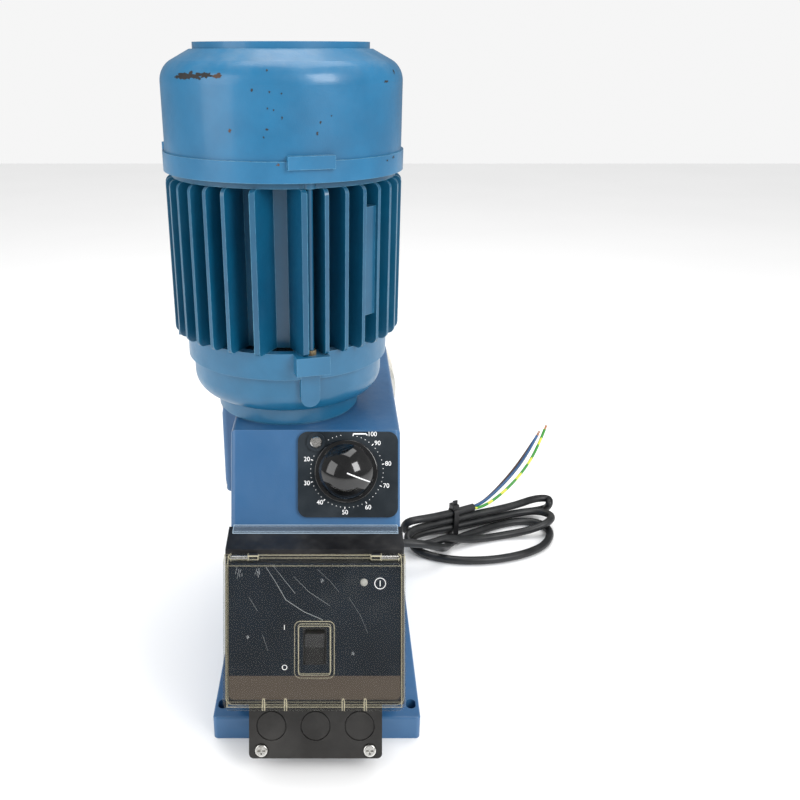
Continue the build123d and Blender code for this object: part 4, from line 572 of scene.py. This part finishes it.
FINISHES = {
    cowl_blue: ["fan_cowl"],
    fin_blue: ["stator_housing", "tie_rods", "upper_end_shield"],
    rusty: ["tie_rod_nuts"],
    bell_blue: ["lower_end_shield", "adapter_ring"],
    housing_blue: ["gear_housing", "gear_cover", "base_plate"],
    black_plastic: [
        "control_box", "switch_body", "rocker", "cooling_fan", "cable_gland", "strain_relief", "cable_tie",
    ],
    knob_black: ["stroke_knob"],
    brown_black: ["terminal_box", "terminal_lid"],
    dial_film: ["dial_plate"],
    navy_film: ["front_panel"],
    board_green: ["circuit_board"],
    head_pp: ["dosing_head", "support_flange", "check_valves", "union_nuts", "hose_tails"],
    ceramic: ["suction_ball", "discharge_ball"],
    rubber: ["diaphragm"],
    sheath: ["mains_cable", "cable_coil"],
    bronze: ["worm_wheel", "guide_bush"],
    copper: ["stator_windings"],
    laminated: ["stator_core", "rotor_core"],
    zinc: ["lock_screw", "terminal_screws", "hinge_pins", "gear_cover_screws", "base_bolts", "head_screws"],
    steel: [
        "motor_shaft", "wheel_shaft", "drive_bearings", "motor_bearings", "worm", "eccentric_cam", "push_rod",
        "return_spring", "diaphragm_core", "stroke_spindle",
    ],
    clear: ["clear_cover"],
    clear_strip: ["clear_flange"],
    lamp_clear: ["indicator_lamp"],
    core_blue_skin: ["core_blue"],
    core_brown_skin: ["core_brown"],
    core_earth_skin: ["core_earth"],
}
for finish, names in FINISHES.items():
    for name in names:
        for slot in nodes[name].material_slots:
            slot.material = finish


# ---- mains lead: its run from the strain relief, and three turns of the hank
SHEATH_DIAMETER, CORE_DIAMETER = 7.0, 2.6
LEAD_RUN = [
    (57.4, 84.0, 30.0), (84.0, 84.0, 30.0), (101.0, 93.0, 20.0), (108.5, 106.0, 11.5),
    (112.5, 121.0, 4.5),
]
FIRST_TURN = [
    (121.0, 133.0, 3.7), (133.0, 141.5, 3.7), (146.3, 148.7, 3.7), (167.1, 160.9, 3.7),
    (188.9, 167.8, 3.7), (206.0, 163.5, 3.7), (212.5, 147.2, 3.7), (203.0, 125.2, 3.7),
    (185.1, 111.1, 3.7), (161.1, 101.6, 3.7), (138.5, 97.8, 3.7), (115.4, 98.6, 3.7),
    (95.0, 105.5, 3.7), (81.5, 115.5, 5.0),
]
SECOND_TURN = [
    (79.5, 125.5, 10.5), (93.4, 134.5, 11.0), (118.9, 143.4, 10.9), (140.2, 152.5, 10.9),
    (163.6, 161.8, 10.9), (186.0, 170.5, 10.9), (205.0, 173.0, 11.5), (216.5, 162.0, 12.5),
    (209.0, 148.0, 12.5), (190.0, 143.5, 7.0), (170.4, 142.0, 3.7), (147.3, 135.3, 3.7),
    (128.0, 128.0, 6.5), (112.0, 121.5, 13.0), (97.0, 114.0, 11.5),
]
THIRD_TURN = [
    (85.0, 109.0, 12.5), (74.5, 111.5, 16.0), (79.0, 122.5, 19.5), (97.8, 134.4, 18.4),
    (118.7, 143.8, 18.2), (141.7, 154.6, 18.2), (163.2, 162.5, 18.3), (184.0, 172.0, 18.4),
    (202.0, 182.0, 19.5), (217.0, 184.5, 19.0), (215.5, 173.5, 18.5), (214.0, 181.0, 9.0),
    (196.0, 183.0, 4.5), (176.0, 177.5, 3.7), (155.0, 168.5, 3.7), (134.0, 158.5, 3.7),
    (113.0, 150.5, 3.7), (94.0, 143.5, 5.0), (79.5, 138.5, 9.0), (73.0, 131.5, 16.5),
    (76.5, 127.5, 25.5), (86.5, 129.0, 27.0), (98.5, 134.8, 25.7), (118.7, 143.8, 25.4),
    (129.0, 149.0, 25.4), (139.5, 154.5, 25.4),
]


def cord_curve(name, route, diameter, material):
    """A round cord on one smooth line through a route in millimetres."""
    data = bpy.data.curves.new(name, "CURVE")
    data.dimensions = "3D"
    spline = data.splines.new("NURBS")
    spline.points.add(len(route) - 1)
    for point, spot in zip(spline.points, route):
        point.co = (spot[0] * MM, spot[1] * MM, spot[2] * MM, 1.0)
    spline.order_u = 3
    spline.use_endpoint_u = True
    spline.resolution_u = 6
    data.bevel_depth = diameter / 2 * MM
    data.bevel_resolution = 5
    data.use_fill_caps = True
    return link(name, data, material)


lead = cord_curve("mains_lead", LEAD_RUN + FIRST_TURN + SECOND_TURN + THIRD_TURN, SHEATH_DIAMETER, sheath)
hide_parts("mains_cable", "cable_coil")


# ---- the three cores at the lead's end: insulation, length in metres and route
CORES = {
    "core_blue": (core_blue_skin, 0.100, [
        (141.0, 155.5, 26.0), (147.0, 158.5, 26.5), (160, 168, 32),
        (178, 181, 44), (194, 193, 60), (205, 204, 76),
    ]),
    "core_brown": (core_brown_skin, 0.098, [
        (139.8, 156.8, 25.0), (147.5, 161.5, 25.0), (163, 176, 31),
        (180, 190, 43), (194, 202, 56), (206, 213, 69),
    ]),
    "core_earth": (core_earth_skin, 0.108, [
        (141.2, 154.0, 24.6), (149.5, 156.5, 24.6), (169, 168, 33),
        (188, 181, 47), (203, 195, 63), (213, 209, 80),
    ]),
}
UP = Vector((0, 0, 1))
STRANDS, STRAND_SIDES, STRAND_RADIUS = 5, 6, 0.375
BARE_END, STRAND_LENGTHS, STAGGER = 5.0, 3, 0.5
ROOT_SPREAD, TIP_SPREAD, TIP_TWIST = 0.55, 0.8, 0.6


def copper_end(name, route):
    """A short fan of bare strands on the end of a core."""
    tip, before = Vector(route[-1]), Vector(route[-2])
    along = (tip - before).normalized()
    side = along.cross(UP).normalized()
    other = along.cross(side)

    def spoke(turn):
        """The way out from the core's line at a turn round it."""
        return side * cos(turn) + other * sin(turn)

    corners = [spoke(2 * pi * corner / STRAND_SIDES) * STRAND_RADIUS for corner in range(STRAND_SIDES)]
    points, faces = [], []
    for strand in range(STRANDS):
        turn = 2 * pi * strand / STRANDS
        reach = BARE_END - STAGGER * (strand % STRAND_LENGTHS)
        root = tip - along + spoke(turn) * ROOT_SPREAD
        end = tip + along * reach + spoke(turn + TIP_TWIST) * TIP_SPREAD
        for spot in (root, end):
            points += [(spot + corner) * MM for corner in corners]
        first = 2 * STRAND_SIDES * strand
        last = first + STRAND_SIDES
        for k in range(STRAND_SIDES):
            after = (k + 1) % STRAND_SIDES
            faces.append((first + k, first + after, last + after, last + k))
        faces += [tuple(reversed(range(first, last))), tuple(range(last, last + STRAND_SIDES))]
    return mesh_piece(name, points, faces, copper)


for name, (skin, length, route) in CORES.items():
    core = cord_curve(name + "_lead", route, CORE_DIAMETER, skin)
    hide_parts(name)
    copper_end(name + "_strands", route)


# ---- the tie: a strap round the four stacked runs, with its head and cut tail on top
TIE_CENTRE = Vector((120.3, 144.3, 0.0))
TIE_ALONG, TIE_ACROSS = Vector((0.903, 0.43, 0.0)), Vector((-0.43, 0.903, 0.0))
STRAP_HALF_WIDTH, STRAP_HALF_LONG, STRAP_THICK = 4.3, 2.4, 1.2
STRAP_LOW, STRAP_HIGH, STRAP_ROUNDING, STRAP_STEPS, STRAP_LOWEST = 0.3, 29.6, 3.2, 4, 0.15
HEAD_SIZE, HEAD_BEVEL, HEAD_RISE = Vector((6.4, 7.6, 4.6)), 0.7, 2.6
TAIL_SIZE, TAIL_PLACE = Vector((4.4, 1.4, 6.4)), Vector((0, -1.2, 3.0))


def strap_section():
    """Places round the strap's inner face, each (across, level) with the way it faces."""
    low, high = STRAP_LOW + STRAP_ROUNDING, STRAP_HIGH - STRAP_ROUNDING
    section = []
    for quarter, (side, level) in enumerate(((1, low), (1, high), (-1, high), (-1, low))):
        for step in range(STRAP_STEPS + 1):
            turn = pi / 2 * (quarter - 1) + pi / 2 * step / STRAP_STEPS
            across = side * (STRAP_HALF_WIDTH - STRAP_ROUNDING) + STRAP_ROUNDING * cos(turn)
            section.append((across, level + STRAP_ROUNDING * sin(turn), cos(turn), sin(turn)))
    return section


def tie_strap():
    """The closed band of the tie."""
    section = strap_section()
    points, faces = [], []
    for across, level, facing_across, facing_up in section:
        for out in (0.0, STRAP_THICK):
            sideways = TIE_ACROSS * (across + facing_across * out)
            lift = UP * max(level + facing_up * out, STRAP_LOWEST)
            for end in (-STRAP_HALF_LONG, STRAP_HALF_LONG):
                points.append((TIE_CENTRE + sideways + TIE_ALONG * end + lift) * MM)
    for k in range(len(section)):
        a, b = 4 * k, 4 * ((k + 1) % len(section))
        faces += [(a, a + 1, b + 1, b), (a + 3, a + 2, b + 2, b + 3)]
        faces += [(a + 2, a, b, b + 2), (a + 1, a + 3, b + 3, b + 1)]
    return mesh_piece("tie_strap", points, faces, black_plastic)


def tie_head():
    """The tie's bevelled head, with the strap's cut tail standing in it."""
    solid = bmesh.new()
    bmesh.ops.create_cube(solid, size=1.0)
    bmesh.ops.scale(solid, vec=HEAD_SIZE * MM, verts=solid.verts)
    bmesh.ops.bevel(
        solid, geom=solid.edges[:], offset=HEAD_BEVEL * MM, segments=2, affect="EDGES", profile=0.6,
    )
    tail = bmesh.ops.create_cube(solid, size=1.0)["verts"]
    bmesh.ops.scale(solid, vec=TAIL_SIZE * MM, verts=tail)
    bmesh.ops.translate(solid, vec=TAIL_PLACE * MM, verts=tail)
    turn = Matrix((TIE_ALONG, TIE_ACROSS, UP)).transposed().to_4x4()
    solid.transform(Matrix.Translation((TIE_CENTRE + UP * (STRAP_HIGH + HEAD_RISE)) * MM) @ turn)
    data = bpy.data.meshes.new("tie_head")
    solid.to_mesh(data)
    solid.free()
    return link("tie_head", data, black_plastic)


strap = tie_strap()
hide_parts("cable_tie")
strap_head = tie_head()


# ---- printed shapes on the operating face, as outlines of (across, down) points
def flat_marks(name, outlines, out, material, body="housing"):
    """Thin flat shapes on the operating face or on what lies over it."""
    points, faces = [], []
    for outline in outlines:
        faces.append(tuple(range(len(points), len(points) + len(outline))))
        points += [face_point(across, down, out) for across, down in outline]
    mesh_piece(name, points, faces, material, body)


def bar(start, end, width):
    """A straight stroke between two points."""
    (x0, d0), (x1, d1) = start, end
    length = sqrt((x1 - x0) ** 2 + (d1 - d0) ** 2)
    nx, nd = (d1 - d0) / length * width / 2, -(x1 - x0) / length * width / 2
    return [(x0 + nx, d0 + nd), (x0 - nx, d0 - nd), (x1 - nx, d1 - nd), (x1 + nx, d1 + nd)]


def ring(centre, radius, corners):
    """Points round a circle."""
    turns = [2 * pi * k / corners for k in range(corners)]
    return [(centre[0] + radius * cos(turn), centre[1] - radius * sin(turn)) for turn in turns]


def circle_line(centre, radius, width, corners=40):
    """A circle drawn with a line, as short strokes."""
    spots = ring(centre, radius, corners)
    return [bar(a, b, width) for a, b in zip(spots, spots[1:] + spots[:1])]


PRINT_THICKNESS = 0.02


def print_text(name, words, across, down, size, out):
    """White lettering on the operating face."""
    data = bpy.data.curves.new(name, "FONT")
    data.body = words
    data.size = size * MM
    data.align_x, data.align_y = "CENTER", "CENTER"
    data.extrude = PRINT_THICKNESS * MM
    piece = link(name, data, white_print)
    piece.matrix_world = Matrix.Translation(face_point(across, down, out)) @ FACE_TURN


# ---- dial print: numbers, dots every 2, ticks every 10, and the bracket over 100
DIAL_PRINT, PANEL_PRINT = DIAL_FACE + PRINT_LIFT, PANEL_FACE + PRINT_LIFT
DIAL_CENTRE = (KNOB_X + 0.5, KNOB_DOWN + 0.2)
DIAL_ZERO, DIAL_STEP = 92.7, 3.48
NUMBER_SIZE = 3.9
NUMBERS = {
    "20": (-5.3, 17.9), "30": (-5.3, 32.6), "40": (2.7, 44.4), "50": (18.1, 50.5), "60": (32.3, 47.4),
    "70": (43.4, 34.2), "80": (44.6, 20.6), "90": (38.1, 8.0), "100": (34.8, 2.5),
}
TWOS, TENS, UNDER_THE_COLLAR = range(2, 100, 2), range(20, 100, 10), range(10, 17)
DOT_RING, DOT_RADIUS, DOT_CORNERS = 22.3, 0.25, 10
TICK_START, TICK_END, TICK_WIDTH = 21.9, 23.3, 0.5
BRACKET = [
    ((23.1, 2.3), (31.0, 2.3), 0.75),
    ((23.3, 2.2), (23.0, 3.6), 0.6),
    ((30.8, 2.2), (31.8, 3.2), 0.6),
]


def dial_spot(value, radius):
    """Where a stroke setting lies on a ring of the dial."""
    turn = radians(DIAL_ZERO + DIAL_STEP * value)
    return (DIAL_CENTRE[0] + radius * cos(turn), DIAL_CENTRE[1] - radius * sin(turn))


for words, (across, down) in NUMBERS.items():
    print_text("dial_number_" + words, words, across, down, NUMBER_SIZE, DIAL_PRINT)
dots = [value for value in TWOS if value not in TENS and value not in UNDER_THE_COLLAR]
marks = [ring(dial_spot(value, DOT_RING), DOT_RADIUS, DOT_CORNERS) for value in dots]
for value in TENS:
    marks.append(bar(dial_spot(value, TICK_START), dial_spot(value, TICK_END), TICK_WIDTH))
marks += [bar(*stroke) for stroke in BRACKET]
flat_marks("dial_scale", marks, DIAL_PRINT, white_print)


# ---- the white line on the knob, set near 70
KNOB_SEAT = DIAL_FACE + 0.3
DOME_RADIUS, DOME_HEIGHT = 19.6, 15.0
POINTER_TURN, POINTER_HALF_WIDTH, POINTER_STEPS = radians(-22.6), 0.36, 14
POINTER_START, POINTER_END, POINTER_LIFT = 0.4, 15.6, 0.05


def dome_out(radius):
    """Height of the knob's dome over the operating face."""
    return KNOB_SEAT + DOME_HEIGHT - DOME_RADIUS + sqrt(DOME_RADIUS**2 - radius**2)


def pointer():
    """A narrow ribbon that follows the dome from its middle to its edge."""
    along, beside = cos(POINTER_TURN), sin(POINTER_TURN)
    points, faces = [], []
    for step in range(POINTER_STEPS + 1):
        radius = POINTER_START + (POINTER_END - POINTER_START) * step / POINTER_STEPS
        for hand in (-POINTER_HALF_WIDTH, POINTER_HALF_WIDTH):
            across = KNOB_X + radius * along - hand * beside
            down = KNOB_DOWN - radius * beside - hand * along
            points.append(face_point(across, down, dome_out(radius) + POINTER_LIFT))
        if step:
            last = 2 * step
            faces.append((last - 2, last, last + 1, last - 1))
    mesh_piece("knob_pointer", points, faces, white_print, "knob", smooth=True)


pointer()


# ---- panel print: switch marks and the power symbol
SYMBOL, SYMBOL_RADIUS, SYMBOL_BAR, SYMBOL_WIDTH = (38.6, 89.6), 3.2, 1.7, 0.5
print_text("switch_on_mark", "I", across=-17.8, down=115.6, size=4.2, out=PANEL_PRINT)
print_text("switch_off_mark", "O", across=-17.7, down=139.2, size=4.4, out=PANEL_PRINT)
upright = [(SYMBOL[0], SYMBOL[1] + end) for end in (-SYMBOL_BAR, SYMBOL_BAR)]
symbol = circle_line(SYMBOL, SYMBOL_RADIUS, SYMBOL_WIDTH) + [bar(*upright, SYMBOL_WIDTH)]
flat_marks("power_symbol", symbol, PANEL_PRINT, white_print)


# ---- rubs and scratches on the clear cover
SCUFF_ALPHA = 0.34
COVER_OUT = COVER_FACE + 0.05
SCRATCH_LINES = [
    ([(-28.1, 78.5), (-22.0, 88.0), (-16.5, 97.6), (-6.0, 104.5), (5.0, 109.2)], 0.22),
    ([(-24.5, 77.0), (-19.0, 84.0), (-11.0, 94.0)], 0.14),
    ([(-12.0, 84.0), (-3.0, 93.0), (9.0, 101.0)], 0.12),
    ([(2.0, 80.0), (9.0, 86.5), (14.5, 93.0)], 0.12),
    ([(-38.0, 96.0), (-33.0, 104.0)], 0.12),
    ([(20.0, 96.0), (27.0, 107.0), (31.0, 117.0)], 0.10),
    ([(-30.0, 118.0), (-27.0, 127.0)], 0.12),
]
RUBS = [(-44.0, 81.2, 3.2), (-32.8, 81.0, 2.4), (4.6, 86.0, 1.2), (22.6, 128.4, 1.1), (-38.5, 119.0, 0.9)]
FLECKS, FLECK_TURN, RUB_NARROWING = 9, 2.4, 0.7
FLECK_LEAN, FLECK_SWING, FLECK_LENGTH = 0.5, 0.6, 0.55
FLECK_WIDTH, FLECK_WIDENING, FLECK_WIDTHS = 0.22, 0.05, 3


def scuff_material():
    """White haze left where clear moulding has been scratched."""
    material = moulded("cover_scuff", (0.62, 0.66, 0.68, 1), rough=0.6, dust=0.0)
    material.node_tree.nodes["Principled BSDF"].inputs["Alpha"].default_value = SCUFF_ALPHA
    return material


def rub_strokes(index, across, down, reach):
    """A patch of short flecks where the cover is gripped or knocked."""
    strokes = []
    for fleck in range(FLECKS):
        turn, spread = FLECK_TURN * fleck + index, reach * sqrt(fleck / FLECKS)
        start = (across + spread * cos(turn) * RUB_NARROWING, down + spread * sin(turn))
        end = (start[0] + FLECK_LEAN * cos(FLECK_SWING * fleck), start[1] + reach * FLECK_LENGTH)
        strokes.append(bar(start, end, FLECK_WIDTH + FLECK_WIDENING * (fleck % FLECK_WIDTHS)))
    return strokes


strokes = []
for line, width in SCRATCH_LINES:
    strokes += [bar(a, b, width) for a, b in zip(line, line[1:])]
for index, rub in enumerate(RUBS):
    strokes += rub_strokes(index, *rub)
flat_marks("cover_scratches", strokes, COVER_OUT, scuff_material(), "lid")


# ---- paint chips on the cowl
BAND_TOP, BAND_RADIUS = 11.3, 72.0
WALL_TOP, WALL_RADIUS, SHOULDER_RADIUS = 49.3, 70.6, 13.4
CHIP_RINGS, CHIP_CORNERS = 3, 22
CHIP_MEAN, CHIP_RAGGED, CHIP_GRAIN, CHIP_SEED_STEP = 0.72, 0.75, 1.9, 3.1
CHIP_LIFT, RUST_LIFT, RUST_SEED = 0.05, 0.08, 40
# Each spot is its angle from the front, height over the cowl's lower edge, half width and half height.
CHIPS = [
    (-46.0, 53.0, 5.5, 1.9), (-41.0, 53.6, 5.0, 2.3), (-36.0, 53.3, 4.6, 2.2), (-31.0, 53.8, 4.2, 1.9),
    (-49.5, 52.6, 3.0, 1.2), (-3.0, 56.4, 0.7, 0.8), (-9.5, 46.8, 0.8, 0.9), (-2.0, 46.0, 0.6, 0.7),
    (3.0, 45.2, 0.7, 0.6), (-3.0, 38.0, 0.6, 0.6), (-0.5, 37.2, 0.5, 0.6), (3.0, 33.2, 0.5, 1.1),
    (-3.5, 27.6, 1.0, 0.8), (18.0, 25.2, 0.9, 1.2), (19.5, 30.8, 0.8, 0.9), (24.5, 34.0, 0.6, 0.6),
    (-5.0, 23.6, 0.6, 0.6), (66.5, 54.8, 1.2, 1.6), (56.5, 50.0, 2.6, 0.7), (63.0, 9.5, 2.2, 0.8),
    (57.0, 8.4, 1.4, 0.5),
]
RUST_SPOTS = [(-25.5, 53.4, 3.4, 1.9), (-20.0, 26.8, 1.3, 1.3), (1.0, 10.0, 1.0, 1.0)]


def cowl_radius(height):
    """Outer radius of the fan cowl at a height over its lower edge."""
    if height <= BAND_TOP:
        return BAND_RADIUS
    if height <= WALL_TOP:
        return WALL_RADIUS
    rise = height - WALL_TOP
    return WALL_RADIUS - SHOULDER_RADIUS + sqrt(max(0.0, SHOULDER_RADIUS**2 - rise**2))


def cowl_point(turn, across, height, lift):
    """A point lifted off the cowl, at an angle from the front and a distance across from there."""
    radius = cowl_radius(height) + lift
    angle = radians(turn) + across / radius
    return Vector((MOTOR_X + radius * sin(angle), MOTOR_Y - radius * cos(angle), COWL_LOW + height)) * MM


def chip(name, spot, material, seed, lift):
    """An irregular spot where the paint has gone, lying on the cowl."""
    turn, height, half_width, half_height = spot
    points, faces = [], []
    for ring_index in range(CHIP_RINGS + 1):
        for corner in range(CHIP_CORNERS):
            around = 2 * pi * corner / CHIP_CORNERS
            wave = Vector((seed * CHIP_SEED_STEP + cos(around) * CHIP_GRAIN, sin(around) * CHIP_GRAIN, seed))
            edge = CHIP_MEAN + CHIP_RAGGED * noise.noise(wave)
            share = ring_index / CHIP_RINGS * (edge if ring_index == CHIP_RINGS else min(edge, 1.0))
            across, up = half_width * share * cos(around), half_height * share * sin(around)
            points.append(cowl_point(turn, across, height + up, lift))
    for ring_index in range(CHIP_RINGS):
        for corner in range(CHIP_CORNERS):
            a = CHIP_CORNERS * ring_index + corner
            b = CHIP_CORNERS * ring_index + (corner + 1) % CHIP_CORNERS
            faces.append((a, b, b + CHIP_CORNERS, a + CHIP_CORNERS))
    mesh_piece(name, points, faces, material)


for index, spot in enumerate(CHIPS):
    chip(f"cowl_chip_{index + 1}", spot, bare_iron, index + 1, CHIP_LIFT)
for index, spot in enumerate(RUST_SPOTS):
    chip(f"cowl_rust_{index + 1}", spot, rust_spot, index + RUST_SEED, RUST_LIFT)


# ---- stage and lights
FLOOR_HALF = 3.0
LIGHT_TARGET = Vector((0.0, 0.0, 0.2))
BACKDROP_GLOW, GLOSS_GLOW = 0.92, 0.3


def floor():
    """A plain pale floor."""
    corners = [(x * FLOOR_HALF, y * FLOOR_HALF, 0) for x, y in ((-1, -1), (1, -1), (1, 1), (-1, 1))]
    data = bpy.data.meshes.new("floor")
    data.from_pydata(corners, [], [(0, 1, 2, 3)])
    made = bpy.data.objects.new("floor", data)
    scene.collection.objects.link(made)
    material, tree, shader = start_material("floor_paper", Roughness=0.7)
    place = add_node(tree, "ShaderNodeTexCoord")
    mottle = add_node(tree, "ShaderNodeTexNoise", {}, {"Scale": 3.0, "Detail": 2.0})
    wire(tree, (place.outputs["Object"], mottle.inputs["Vector"]))
    paper = mix_color(tree, mottle.outputs["Fac"], (0.90, 0.90, 0.90, 1), (0.94, 0.94, 0.94, 1))
    wire(tree, (paper, shader.inputs["Base Color"]))
    data.materials.append(material)


def softbox(name, place, size, power):
    """A large soft lamp aimed at the pump."""
    data = bpy.data.lights.new(name, "AREA")
    data.shape = "RECTANGLE"
    data.size, data.size_y = size
    data.energy = power
    made = bpy.data.objects.new(name, data)
    made.location = place
    made.rotation_euler = (LIGHT_TARGET - Vector(place)).to_track_quat("-Z", "Y").to_euler()
    scene.collection.objects.link(made)


floor()
softbox("key_softbox", place=(0.9, -1.0, 1.0), size=(0.6, 0.8), power=15)
softbox("fill_softbox", place=(-1.1, -0.7, 0.7), size=(0.8, 1.0), power=7)
softbox("top_softbox", place=(0.1, 0.2, 1.5), size=(1.0, 1.0), power=9)

world = bpy.data.worlds.new("studio")
scene.world = world
world.use_nodes = True
background = world.node_tree.nodes["Background"]
background.inputs["Color"].default_value = (1.0, 1.0, 1.0, 1.0)
rays = add_node(world.node_tree, "ShaderNodeLightPath")
glow = add_node(world.node_tree, "ShaderNodeMapRange", {}, {"To Min": BACKDROP_GLOW, "To Max": GLOSS_GLOW})
wire(
    world.node_tree,
    (rays.outputs["Is Glossy Ray"], glow.inputs["Value"]),
    (glow.outputs["Result"], background.inputs["Strength"]),
)
scene.view_settings.view_transform = "Standard"


# ---- camera
FOCAL_PIXELS, FRAME_WIDTH, AXIS_COLUMN, SENSOR = 868.6, 800.0, 336.7, 36.0
CAMERA_PLACE, CAMERA_DIP = (0.0130, -0.5554, 0.4185), radians(21.94)
camera_data = bpy.data.cameras.new("camera")
camera_data.sensor_width = SENSOR
camera_data.lens = FOCAL_PIXELS / FRAME_WIDTH * SENSOR
camera_data.shift_x = (FRAME_WIDTH / 2 - AXIS_COLUMN) / FRAME_WIDTH
camera = bpy.data.objects.new("camera", camera_data)
camera.location = CAMERA_PLACE
camera.rotation_euler = (pi / 2 - CAMERA_DIP, 0.0, 0.0)
scene.collection.objects.link(camera)
scene.camera = camera
